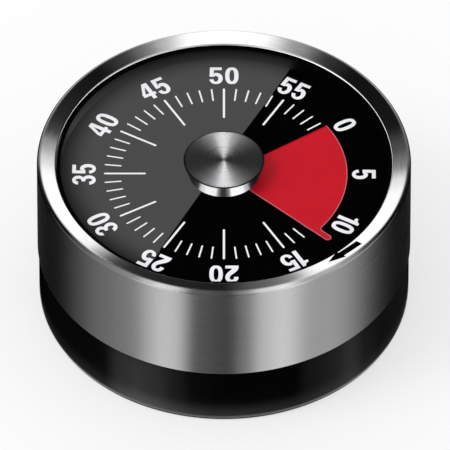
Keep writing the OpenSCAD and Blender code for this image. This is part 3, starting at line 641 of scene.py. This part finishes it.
def round_tangent(tree, shader):
    """Brush marks that run round the upright axis spread a highlight across them."""
    tangent = add(tree, "Tangent")
    tangent.direction_type = "RADIAL"
    tangent.axis = "Z"
    tree.links.new(tangent.outputs["Tangent"], shader.inputs["Tangent"])
    shader.inputs["Anisotropic Rotation"].default_value = 0.25


rim_polish, tree, shader = start_finish("rim_polished_steel", (0.66, 0.66, 0.67), 0.08, 1.0)
tint(tree, shader, grain(tree, 260, (1.0, 1.0, 20.0)), (0.63, 0.63, 0.64), (0.69, 0.69, 0.70))
spread(tree, shader, "Roughness", grain(tree, 300, (1.0, 1.0, 30.0)), 0.06, 0.1)
emboss(tree, shader, grain(tree, 260, (1.0, 1.0, 40.0)), 0.0002 * mm)

band_brushed, tree, shader = start_finish("band_brushed_steel", (0.60, 0.60, 0.61), 0.29, 1.0)
hairline = grain(tree, 60, (1.0, 1.0, 90.0), 5.0)
tint(tree, shader, hairline, (0.58, 0.58, 0.59), (0.62, 0.62, 0.63))
spread(tree, shader, "Roughness", hairline, 0.26, 0.33)
emboss(tree, shader, hairline, 0.0008 * mm)
shader.inputs["Anisotropic"].default_value = 0.9
round_tangent(tree, shader)

shell_mesh = turned_mesh("band_shell", shell_line, turns, lambda a, b: a[0] == b[0] == case_r)
sharp_corners(shell_mesh)
band_shell = put_piece("band_shell", shell_mesh, "case", "case_steel", rim_polish, band_brushed)
band_shell.visible_glossy = False
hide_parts("steel_band")

# The sloping rim and its lip are polished on their own, so they are a mesh of their own.
rim_mesh = turned_mesh("band_rim", rim_line, turns, lambda a, b: False)
sharp_corners(rim_mesh)
band_rim = put_piece("band_rim", rim_mesh, "case", "case_steel", rim_polish)
band_rim.visible_glossy = False
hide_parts("steel_band")

# WINDING ARROW
# A black arrow printed on the rim at the lower right shows which way the knob is wound.
# It is a straight arrow pad printed on the slope, so it follows the rim's curve.
arrow_from, arrow_to = -40.3, -53.7
tail_r, tip_r = 37.75, 37.55
shaft_w, head_w, head_l = 1.75, 3.0, 3.6
tail_point = outward(arrow_from) * tail_r
tip_point = outward(arrow_to) * tip_r
arrow_way = (tip_point - tail_point).normalized()
arrow_side = Vector((-arrow_way.y, arrow_way.x))
arrow_l = (tip_point - tail_point).length
barb_at = arrow_l - head_l
shaft_steps = 14
arrow_points, arrow_faces = [], []


def on_rim(along, across):
    """A point of the arrow, laid on the rim's slope."""
    place = tail_point + arrow_way * along + arrow_side * across
    return Vector((*place, rim_z(place.length))) * mm


for i in range(shaft_steps + 1):
    along = barb_at * i / shaft_steps
    arrow_points += [on_rim(along, -shaft_w / 2), on_rim(along, shaft_w / 2)]
for i in range(shaft_steps):
    arrow_faces.append((2 * i, 2 * i + 2, 2 * i + 3, 2 * i + 1))
neck = 2 * shaft_steps
head = len(arrow_points)
arrow_points += [on_rim(barb_at, -head_w / 2), on_rim(barb_at, head_w / 2), on_rim(arrow_l, 0)]
arrow_faces += [(head, head + 2, neck), (neck, head + 2, neck + 1), (neck + 1, head + 2, head + 1)]
arrow_mesh = mesh_of("winding_arrow", arrow_points, arrow_faces)

arrow_ink, tree, shader = start_finish("arrow_ink", (0.001, 0.001, 0.001), 0.6)
tint(tree, shader, grain(tree, 1500), (0.0008, 0.0008, 0.0008), (0.0016, 0.0016, 0.0016))
spread(tree, shader, "Roughness", grain(tree, 1800), 0.55, 0.7)
shader.inputs["Specular IOR Level"].default_value = 0.02
winding_arrow = put_piece("winding_arrow", arrow_mesh, "case", "dial_film", arrow_ink)
coat_of_ink(winding_arrow)

# KNOB
# The winding knob is turned from steel bar, with fine rings on its face and a side that draws in below.
# It is pressed over a plastic insert that takes the flats of the main arbor.
knob_low, knob_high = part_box("knob")
knob_r = knob_high.x / mm
knob_foot = knob_low.z / mm
knob_top = knob_high.z / mm
knob_foot_r = 7.6
knob_chamfer = 0.3
chamfer_fall = 0.1
insert_fit = 0.05
insert_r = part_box("knob_insert")[1].x / mm + insert_fit
face_t = 1.1
hole_top = knob_top - face_t
centre_r = 0.04
knob_turns = 192
bevel_corner = 15.0
rings_per_metre = 9000.0
knob_line = [(insert_r, knob_foot), (knob_foot_r, knob_foot)]
knob_line += [(knob_r, knob_top - chamfer_fall), (knob_r - knob_chamfer, knob_top)]
knob_line += [(centre_r, knob_top), (centre_r, hole_top), (insert_r, hole_top)]

knob_side, tree, shader = start_finish("knob_polished_side", (0.74, 0.74, 0.75), 0.16, 1.0)
tint(tree, shader, grain(tree, 300, (1.0, 1.0, 20.0)), (0.71, 0.71, 0.72), (0.77, 0.77, 0.78))
spread(tree, shader, "Roughness", grain(tree, 300, (1.0, 1.0, 30.0)), 0.13, 0.2)
emboss(tree, shader, grain(tree, 120, (1.0, 1.0, 60.0)), 0.0006 * mm)

knob_face, tree, shader = start_finish("knob_turned_face", (0.62, 0.62, 0.63), 0.3, 1.0)
place = add(tree, "TexCoord").outputs["Object"]
flat_place = add(tree, "VectorMath", Vector=place)
flat_place.operation = "MULTIPLY"
flat_place.inputs[1].default_value = (1.0, 1.0, 0.0)
from_axis = add(tree, "VectorMath", Vector=flat_place.outputs["Vector"])
from_axis.operation = "LENGTH"
rings = add(tree, "TexNoise", Scale=rings_per_metre, Detail=3.0)
rings.noise_dimensions = "1D"
tree.links.new(from_axis.outputs["Value"], rings.inputs["W"])
tint(tree, shader, rings.outputs[0], (0.60, 0.60, 0.61), (0.64, 0.64, 0.65))
spread(tree, shader, "Roughness", rings.outputs[0], 0.27, 0.33)
emboss(tree, shader, rings.outputs[0], 0.0007 * mm)
shader.inputs["Anisotropic"].default_value = 0.9
round_tangent(tree, shader)

# Painted reflection: the chamfer round the face is coloured near black for the dark line that the edge
# mirrors.
painted_dark_edge, tree, shader = start_finish("knob_edge_line", (0.004, 0.004, 0.004), 0.45)
tint(tree, shader, grain(tree, 900), (0.003, 0.003, 0.003), (0.006, 0.006, 0.006))
spread(tree, shader, "Roughness", grain(tree, 700), 0.4, 0.5)
shader.inputs["Specular IOR Level"].default_value = 0.1


def knob_finish(a, b):
    """The face is 1, its chamfer, painted near black as a painted dark reflection, 2, and the rest of the
    knob 0.
    """
    if a[1] == b[1] == knob_top:
        return 1
    return 2 if {a, b} == {(knob_r, knob_top - chamfer_fall), (knob_r - knob_chamfer, knob_top)} else 0


knob_mesh = turned_mesh("knob_turned", knob_line, knob_turns, knob_finish)
sharp_corners(knob_mesh, bevel_corner)
knob_turned = put_piece("knob_turned", knob_mesh, "winder", "knob_steel", knob_side, knob_face, painted_dark_edge)
knob_turned.visible_glossy = False
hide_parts("knob")

# CAMERA
# The timer is seen from the front at about 45 degrees, from far off with a very long lens.
# Its circles come out as even ellipses that way, and its upright edges as parallel lines.
look_down = 45.26
view_far = 4.0
sensor_w, lens_length = 36.0, 1496.56
aim_right, aim_below = 0.226, 10.82
look_way = Vector((0, cos(radians(look_down)), -sin(radians(look_down))))
look_up = Vector((0, sin(radians(look_down)), cos(radians(look_down))))
aim = Vector((aim_right, 0, dial_top)) * mm - look_up * aim_below * mm
camera = bpy.data.objects.new("camera", bpy.data.cameras.new("camera"))
bpy.context.scene.collection.objects.link(camera)
camera.data.sensor_width = sensor_w
camera.data.lens = lens_length
camera.location = aim - look_way * view_far
camera.rotation_euler = (radians(90 - look_down), 0, 0)
bpy.context.scene.camera = camera

# FLOOR AND LIGHT
# The timer stands on a plain pale floor under even white light, with one broad soft lamp from the left.
# Where it is looked at, the floor also glows, so that it stays near white and its shadow is faint.
floor_half = 4.0
floor_glow = 0.6
sky_strength = 0.84
lamp_aim = Vector((0, 0, 0.03))


def square(name, half):
    """A flat square that faces up."""
    corners = [(-half, -half, 0), (half, -half, 0), (half, half, 0), (-half, half, 0)]
    return mesh_of(name, corners, [(0, 1, 2, 3)])


def worked(tree, operation, first, second=0.0):
    """The value that one step of arithmetic gives in a finish."""
    step = tree.nodes.new("ShaderNodeMath")
    step.operation = operation
    for value, socket in zip((first, second), step.inputs):
        plug(tree, value, socket)
    return step.outputs["Value"]


floor_mesh = square("floor", floor_half)
floor = bpy.data.objects.new("floor", floor_mesh)
bpy.context.scene.collection.objects.link(floor)
pale, tree, shader = start_finish("pale_floor", (0.96, 0.96, 0.96), 1.0)
shader.inputs["Specular IOR Level"].default_value = 0.0
rays = add(tree, "LightPath")
looks = worked(tree, "ADD", rays.outputs["Is Camera Ray"], rays.outputs["Is Glossy Ray"])
looks = worked(tree, "ADD", looks, rays.outputs["Is Transmission Ray"])
paper_white = add(tree, "Emission", Strength=1.0)
laid = add(tree, "MixShader", Fac=worked(tree, "MULTIPLY", looks, floor_glow))
tree.links.new(shader.outputs["BSDF"], laid.inputs[1])
tree.links.new(paper_white.outputs["Emission"], laid.inputs[2])
tree.links.new(laid.outputs["Shader"], tree.nodes["Material Output"].inputs["Surface"])
floor_mesh.materials.append(pale)

sky = bpy.data.worlds.new("white_room")
sky.use_nodes = True
sky.node_tree.nodes["Background"].inputs["Color"].default_value = (1.0, 1.0, 1.0, 1.0)
sky.node_tree.nodes["Background"].inputs["Strength"].default_value = sky_strength
sky.cycles_visibility.glossy = False
bpy.context.scene.world = sky

lamp = bpy.data.objects.new("soft_lamp", bpy.data.lights.new("soft_lamp", "AREA"))
bpy.context.scene.collection.objects.link(lamp)
lamp.data.shape = "DISK"
lamp.data.size = 0.5
lamp.data.energy = 3.2
lamp.location = (-0.6, -0.25, 0.9)
lamp.rotation_euler = (lamp_aim - lamp.location).to_track_quat("-Z", "Y").to_euler()
lamp.visible_glossy = False

# CARDS AND PAPERS
# The metal and the gloss black would mirror a plain white room, so they mirror a dark one with white cards
# and papers in it, as for any shiny product. Only mirrored rays see the cards: they light nothing else.


def hang(name, mesh, finish, seen_by=()):
    """Hang a card that only shows in reflections, or only in those of the pieces named."""
    card = bpy.data.objects.new(name, mesh)
    bpy.context.scene.collection.objects.link(card)
    mesh.materials.append(finish)
    card.visible_camera = False
    card.visible_diffuse = False
    card.visible_transmission = False
    card.visible_volume_scatter = False
    card.visible_shadow = False
    if seen_by:
        viewers = bpy.data.collections.new(name + "_viewers")
        for viewer in seen_by:
            viewers.objects.link(viewer)
        card.light_linking.receiver_collection = viewers
    return card


def start_card(name, clear):
    """A glowing finish, which rays also go through if it is clear; returns it, its tree and the glow."""
    finish = bpy.data.materials.new(name)
    finish.use_nodes = True
    tree = finish.node_tree
    tree.nodes.remove(tree.nodes["Principled BSDF"])
    glow = add(tree, "Emission", Strength=0.0)
    shown = glow.outputs["Emission"]
    if clear:
        both = tree.nodes.new("ShaderNodeAddShader")
        tree.links.new(shown, both.inputs[0])
        tree.links.new(add(tree, "BsdfTransparent").outputs["BSDF"], both.inputs[1])
        shown = both.outputs["Shader"]
    tree.links.new(shown, tree.nodes["Material Output"].inputs["Surface"])
    return finish, tree, glow


def tone_ramp(tree, place, tones, low, high):
    """Tones that follow a list of (place, tone) between two ends."""
    ramp = add(tree, "ValToRGB", Fac=place)
    ramp.color_ramp.interpolation = "EASE"
    stops = ramp.color_ramp.elements
    for i, (where, tone) in enumerate(tones):
        spot = (where - low) / (high - low)
        stop = stops[i] if i < 2 else stops.new(spot)
        stop.position = spot
        stop.color = (tone, tone, tone, 1.0)
    return ramp.outputs["Color"]


def light_up(tree, glow, tones):
    """Let a card glow by its tones."""
    tree.links.new(tones, glow.inputs["Color"])
    glow.inputs["Strength"].default_value = 1.0


def from_front(turn):
    """The unit vector at a turn, in degrees, from the front of the timer towards its right."""
    return outward(turn - 90)


def paper_mesh(name, points, places, wide):
    """A sheet of rows of points, so many to a row, that keeps each point's place for its tones."""
    rows = range(0, len(points) - wide, wide)
    faces = [(a + j, a + j + 1, a + j + wide + 1, a + j + wide) for a in rows for j in range(wide - 1)]
    mesh = mesh_of(name, points, faces)
    layer = mesh.uv_layers.new(name="round")
    for loop in mesh.loops:
        layer.data[loop.index].uv = places[loop.vertex_index]
    return mesh


def on_paper(tree):
    """The places round and across a sheet of paper, each 0 to 1."""
    place = add(tree, "SeparateXYZ", Vector=add(tree, "TexCoord").outputs["UV"])
    return place.outputs["X"], place.outputs["Y"]


# Paper on the floor in front gives the band and the base their upright light and dark stripes.
# Its rays leave each place on the wall the way the camera's line of sight is mirrored there.
fan_steps = 90
fan_near = 0.3
foot_share = 0.4


def floor_paper(name, viewer, wall_r, far, up, clear, tones, near_tones=None):
    """A fan of paper on the floor; tones are (degrees round the wall, glow), with more near the foot."""
    points, places = [], []
    for i in range(fan_steps + 1):
        turn = -90 + 180 * i / fan_steps
        for away, reach in enumerate((fan_near, far)):
            spot = from_front(turn) * wall_r + from_front(2 * turn) * reach
            points.append(Vector((*spot, up)) * mm)
            places.append((i / fan_steps, away))
    finish, tree, glow = start_card(name + "_glow", clear)
    turned, away = on_paper(tree)
    shown = tone_ramp(tree, turned, tones, -90, 90)
    if near_tones:
        at_foot = faded(tree, away, 0.0, foot_share, 1.0, 0.0, "SMOOTHERSTEP")
        both = add(tree, "MixRGB", Fac=at_foot, Color1=shown)
        both.blend_type = "ADD"
        tree.links.new(tone_ramp(tree, turned, near_tones, -90, 90), both.inputs["Color2"])
        shown = both.outputs["Color"]
    light_up(tree, glow, shown)
    hang(name, paper_mesh(name, points, places, 2), finish, [viewer])


wall_tones = [
    (-90, 0.002), (-66, 0.003), (-58, 0.008), (-50, 0.10), (-42, 0.22), (-29, 0.31), (-24, 0.66),
    (-20, 0.92), (-16, 0.86), (-9, 0.13), (1, 0.075), (6, 0.28), (12, 0.82), (18, 1.02), (27, 0.50),
    (35, 0.54), (43, 0.33), (50, 0.08), (58, 0.006), (66, 0.002), (90, 0.001),
]
floor_paper("band_paper", band_shell, case_r, far=3500.0, up=0.15, clear=False, tones=wall_tones)
base_tones = [
    (-90, 0.0), (-48, 0.01), (-41, 0.02), (-33, 0.38), (-28, 0.52), (-22, 0.42), (-15, 0.17), (-10, 0.03),
    (0, 0.0), (22, 0.0), (28, 0.10), (35, 0.16), (43, 0.28), (50, 0.08), (58, 0.03), (75, 0.02), (90, 0.0),
]
foot_tones = [
    (-90, 0.0), (-62, 0.045), (-42, 0.18), (-25, 0.8), (0, 0.48), (31, 0.25), (57, 0.06), (67, 0.03),
    (90, 0.0),
]
base_in = 0.3
floor_paper(
    "base_paper", nodes["base_cup"], case_r - base_in, far=14.6, up=0.3, clear=True,
    tones=base_tones, near_tones=foot_tones,
)

# A half round sheet over the dial is mirrored in its left half, with its straight edge across the middle.
sheet_up = 60.0
sheet_grow = 1 + sheet_up * mm / (camera.location.z - dial_top * mm)
sheet_r = 38.0
sheet_steps = 48
edge_turn = 63.16
edge_at, edge_way = Vector((0.0, 3.93)), outward(edge_turn)
shift = edge_at - edge_way * edge_at.dot(edge_way)
glow_back, glow_full, glow_gone = 2.2, 27.8, 37.4
glow_most, glow_least = 1.4, 0.03
soft_curve = "SMOOTHSTEP"
half_round = round_run(*shift, sheet_r, sheet_r, edge_turn, edge_turn + 180, steps=sheet_steps)
half_points = [Vector((x, y, 0)) * mm for x, y in half_round]
sheet_mesh = mesh_of("dial_sheet_card", half_points, [range(sheet_steps + 1)])
sheet_glow, tree, glow = start_card("dial_card_glow", True)
from_middle = add(tree, "VectorMath", Vector=add(tree, "TexCoord").outputs["Object"])
from_middle.operation = "DISTANCE"
from_middle.inputs[1].default_value = (0.0, glow_back * mm, 0.0)
far_out = from_middle.outputs["Value"]
fade = faded(tree, far_out, glow_full * mm, glow_gone * mm, glow_most, glow_least, soft_curve)
tree.links.new(fade, glow.inputs["Strength"])
dial_card = hang("dial_card", sheet_mesh, sheet_glow, [nodes["dial_plate"], dial_sheet])
dial_card.location = Vector((0, -camera.location.y * (sheet_grow - 1), (dial_top + sheet_up) * mm))
dial_card.scale = (sheet_grow, sheet_grow, 1.0)

# White cards run overhead for the knob's face.
card_far = 0.7


def white_card(name, round_to, up_to, wide, high, strength, soft, seen_by=()):
    """A card facing the dial, its place and size in degrees as seen from there, round from the back."""
    finish, tree, glow = start_card(name + "_glow", True)
    place = add(tree, "SeparateXYZ", Vector=add(tree, "TexCoord").outputs["Object"])
    level = strength
    for axis in ("X", "Y"):
        out = worked(tree, "ABSOLUTE", place.outputs[axis])
        level = worked(tree, "MULTIPLY", faded(tree, out, 1 - soft, 1.0, 1.0, 0.0, soft_curve), level)
    tree.links.new(level, glow.inputs["Strength"])
    card = hang(name, square(name, 1.0), finish, seen_by)
    flat = cos(radians(up_to))
    way = Vector((sin(radians(round_to)) * flat, cos(radians(round_to)) * flat, sin(radians(up_to))))
    card.location = way * card_far + Vector((0, 0, dial_top * mm))
    card.rotation_euler = (-way).to_track_quat("-Z", "Y").to_euler()
    card.scale = (card_far * sin(radians(wide / 2)), card_far * sin(radians(high / 2)), 1.0)
    return card


for name, up_to, wide, high, strength, soft in (
    ("face_card", 66, 5, 26, 15.5, 0.5),
    ("face_wide_card", 66, 30, 26, 1.1, 0.8),
    ("face_fill_card", 45, 80, 40, 0.017, 0.5),
):
    white_card(name, 0, up_to, wide, high, strength, soft, [knob_turned])

# Broad dim cards hang in front, at both sides and overhead, for the steel as it is seen from other sides.
for side, round_to in (("front", 180), ("left", -118), ("right", 118)):
    white_card(
        side + "_card", round_to, up_to=38, wide=110, high=62, strength=0.6, soft=0.6,
        seen_by=[knob_turned, band_rim],
    )
white_card("over_card", 180, up_to=78, wide=100, high=70, strength=0.7, soft=0.5, seen_by=[band_rim])

# A bowed sheet over the back is mirrored in the rim, and one round the front in the rounded edge below it.
# Each place on them is what one slope of the steel shows at one turn from the front.
rim_half = 2.0
rim_mid = case_r - rim_half
rim_lean = -round(degrees(atan(rim_slope)))
lean_span = 6
bow_steps, bow_rows = 120, 12
tilt_step = 0.1
least_facing = 0.1
shallow_tilt, steep_tilt = 2, 32


def mirrored(turn, tilt):
    """Where steel that leans outward by a tilt sends the line of sight, and how far it faces the camera."""
    facing = Vector((*(from_front(turn) * sin(radians(tilt))), cos(radians(tilt))))
    return look_way - 2 * look_way.dot(facing) * facing, -look_way.dot(facing)


def bowed_paper(name, viewer, low, high, tones, low_tones=None):
    """A sheet over a span of tilts; tones are (degrees round the rim, glow), and others for steep tilts."""
    points, places = [], []
    for i in range(bow_steps + 1):
        turn = -180 + 360 * i / bow_steps
        end = low
        while end < high:
            way, faces_camera = mirrored(turn, end + tilt_step)
            if faces_camera <= least_facing or (end >= 0 and way.z <= 0):
                break
            end += tilt_step
        start = Vector((*(from_front(turn) * rim_mid), rim_z(rim_mid))) * mm
        for j in range(bow_rows + 1):
            tilt = low + (end - low) * j / bow_rows
            points.append(start + mirrored(turn, tilt)[0] * card_far)
            places.append((i / bow_steps, tilt / 90))
    finish, tree, glow = start_card(name + "_glow", True)
    turned, tilted = on_paper(tree)
    shown = tone_ramp(tree, turned, tones, -180, 180)
    if low_tones:
        steep = faded(tree, tilted, shallow_tilt / 90, steep_tilt / 90, 0.0, 1.0, soft_curve)
        both = add(tree, "MixRGB", Fac=steep, Color1=shown)
        tree.links.new(tone_ramp(tree, turned, low_tones, -180, 180), both.inputs["Color2"])
        shown = both.outputs["Color"]
    light_up(tree, glow, shown)
    hang(name, paper_mesh(name, points, places, bow_rows + 1), finish, [viewer])


rim_tones = [
    (-180, 1.7), (-170, 1.6), (-160, 0.68), (-154, 0.25), (-146, 0.055), (-135, 0.008), (-113, 0.025),
    (-104, 0.06), (-97, 0.5), (-89, 1.1), (-82, 1.6), (-57, 1.6), (-48, 1.4), (-43, 0.55), (-38, 0.09),
    (-30, 0.03), (-13, 0.025), (0, 0.014), (11, 0.15), (21, 0.28), (31, 1.5), (44, 1.6), (72, 1.6),
    (80, 1.2), (88, 0.28), (96, 0.1), (106, 0.012), (134, 0.008), (145, 0.045), (156, 0.44), (168, 1.5),
    (180, 1.7),
]
bowed_paper("rim_paper", band_rim, rim_lean - lean_span, rim_lean + lean_span, rim_tones)
edge_gain = 1.15
edge_tones = [(-180, 1.2), (-125, 0.8), (-105, 0.35), (-92, 0.3), (-84, 0.03)]
edge_tones += [(turn, edge_gain * tone) for turn, tone in wall_tones[1:-1]]
edge_tones += [(84, 0.03), (92, 0.2), (105, 0.3), (125, 0.8), (180, 1.2)]
bowed_paper("edge_paper", band_shell, low=1, high=88, tones=rim_tones, low_tones=edge_tones)

# A strip of paper inside the lip puts a bright line along it.
strip_gap, strip_low, strip_high = 0.9, 1.35, 0.75


def ring_paper(name, inner, outer, steps):
    """A ring of paper between two (radius, height) edges, parted at the back."""
    points, places = [], []
    for i in range(steps + 1):
        way = from_front(-180 + 360 * i / steps)
        for across, (r, z) in enumerate((inner, outer)):
            points.append(Vector((*(way * r), z)) * mm)
            places.append((i / steps, across))
    return paper_mesh(name, points, places, 2)


strip_r = rim_in - strip_gap
strip_mesh = ring_paper("lip_paper", (strip_r, case_h - strip_low), (strip_r, case_h - strip_high), 120)
strip_glow, tree, glow = start_card("lip_paper_glow", True)
light_up(tree, glow, tone_ramp(tree, on_paper(tree)[0], [
    (-180, 0.5), (-160, 1.1), (-146, 1.8), (-125, 1.6), (-113, 1.0), (-95, 0.2), (-60, 0.1), (60, 0.1),
    (80, 1.2), (113, 1.9), (145, 3.2), (160, 2.2), (180, 0.5),
], -180, 180))
hang("lip_paper", strip_mesh, strip_glow, [band_rim])

# Paper over the dial is mirrored in the liner, where it fades to the right.
pad_in, pad_out, pad_up = 30.0, 35.4, 0.03
pad_z = dial_top + pad_up


def clear_from_below(tree, glow):
    """Let rays come up through a paper, but not down."""
    sides = add(tree, "MixShader", Fac=add(tree, "NewGeometry").outputs["Backfacing"])
    tree.links.new(glow.outputs["Emission"], sides.inputs[1])
    tree.links.new(add(tree, "BsdfTransparent").outputs["BSDF"], sides.inputs[2])
    tree.links.new(sides.outputs["Shader"], tree.nodes["Material Output"].inputs["Surface"])


pad_mesh = ring_paper("liner_paper", (pad_in, pad_z), (pad_out, pad_z), 96)
pad_glow, tree, glow = start_card("liner_paper_glow", False)
turned, outer = on_paper(tree)
light_up(tree, glow, tone_ramp(tree, turned, [
    (-180, 0.54), (-150, 0.47), (-135, 0.4), (-118, 0.27), (-104, 0.07), (-95, 0.02), (-30, 0.0),
    (150, 0.0), (154, 0.02), (158.5, 0.52), (180, 0.54),
], -180, 180))
tree.links.new(faded(tree, outer, 0.35, 0.95, 0.08, 1.0), glow.inputs["Strength"])
clear_from_below(tree, glow)
hang("liner_paper", pad_mesh, pad_glow, [nodes["rim_liner"]])

# Paper round the foot of the knob is mirrored in its side, which looks down at the dial.
ring_in_r, ring_out_r, ring_drop = 4.0, 24.0, 0.12
ring_z = knob_foot - ring_drop
ring_mesh = ring_paper("knob_paper", (ring_in_r, ring_z), (ring_out_r, ring_z), 96)
ring_glow, tree, glow = start_card("knob_paper_glow", False)
place = add(tree, "SeparateXYZ", Vector=add(tree, "TexCoord").outputs["Object"])
to_front = worked(tree, "MULTIPLY", place.outputs["Y"], -1.0)
turned = worked(tree, "ARCTAN2", place.outputs["X"], to_front)
light_up(tree, glow, tone_ramp(tree, faded(tree, turned, -pi, pi, 0.0, 1.0), [
    (-180, 0.05), (-62, 0.02), (-50, 0.05), (-40, 0.85), (-30, 1.2), (-15, 1.15), (-9, 0.25), (-4, 0.045),
    (2, 0.045), (8, 0.25), (14, 1.25), (32, 1.25), (42, 0.6), (52, 0.03), (62, 0.01), (180, 0.05),
], -180, 180))
clear_from_below(tree, glow)
hang("knob_paper", ring_mesh, ring_glow, [knob_turned])

# The picture is shown as it is lit.
bpy.context.scene.view_settings.view_transform = "Standard"
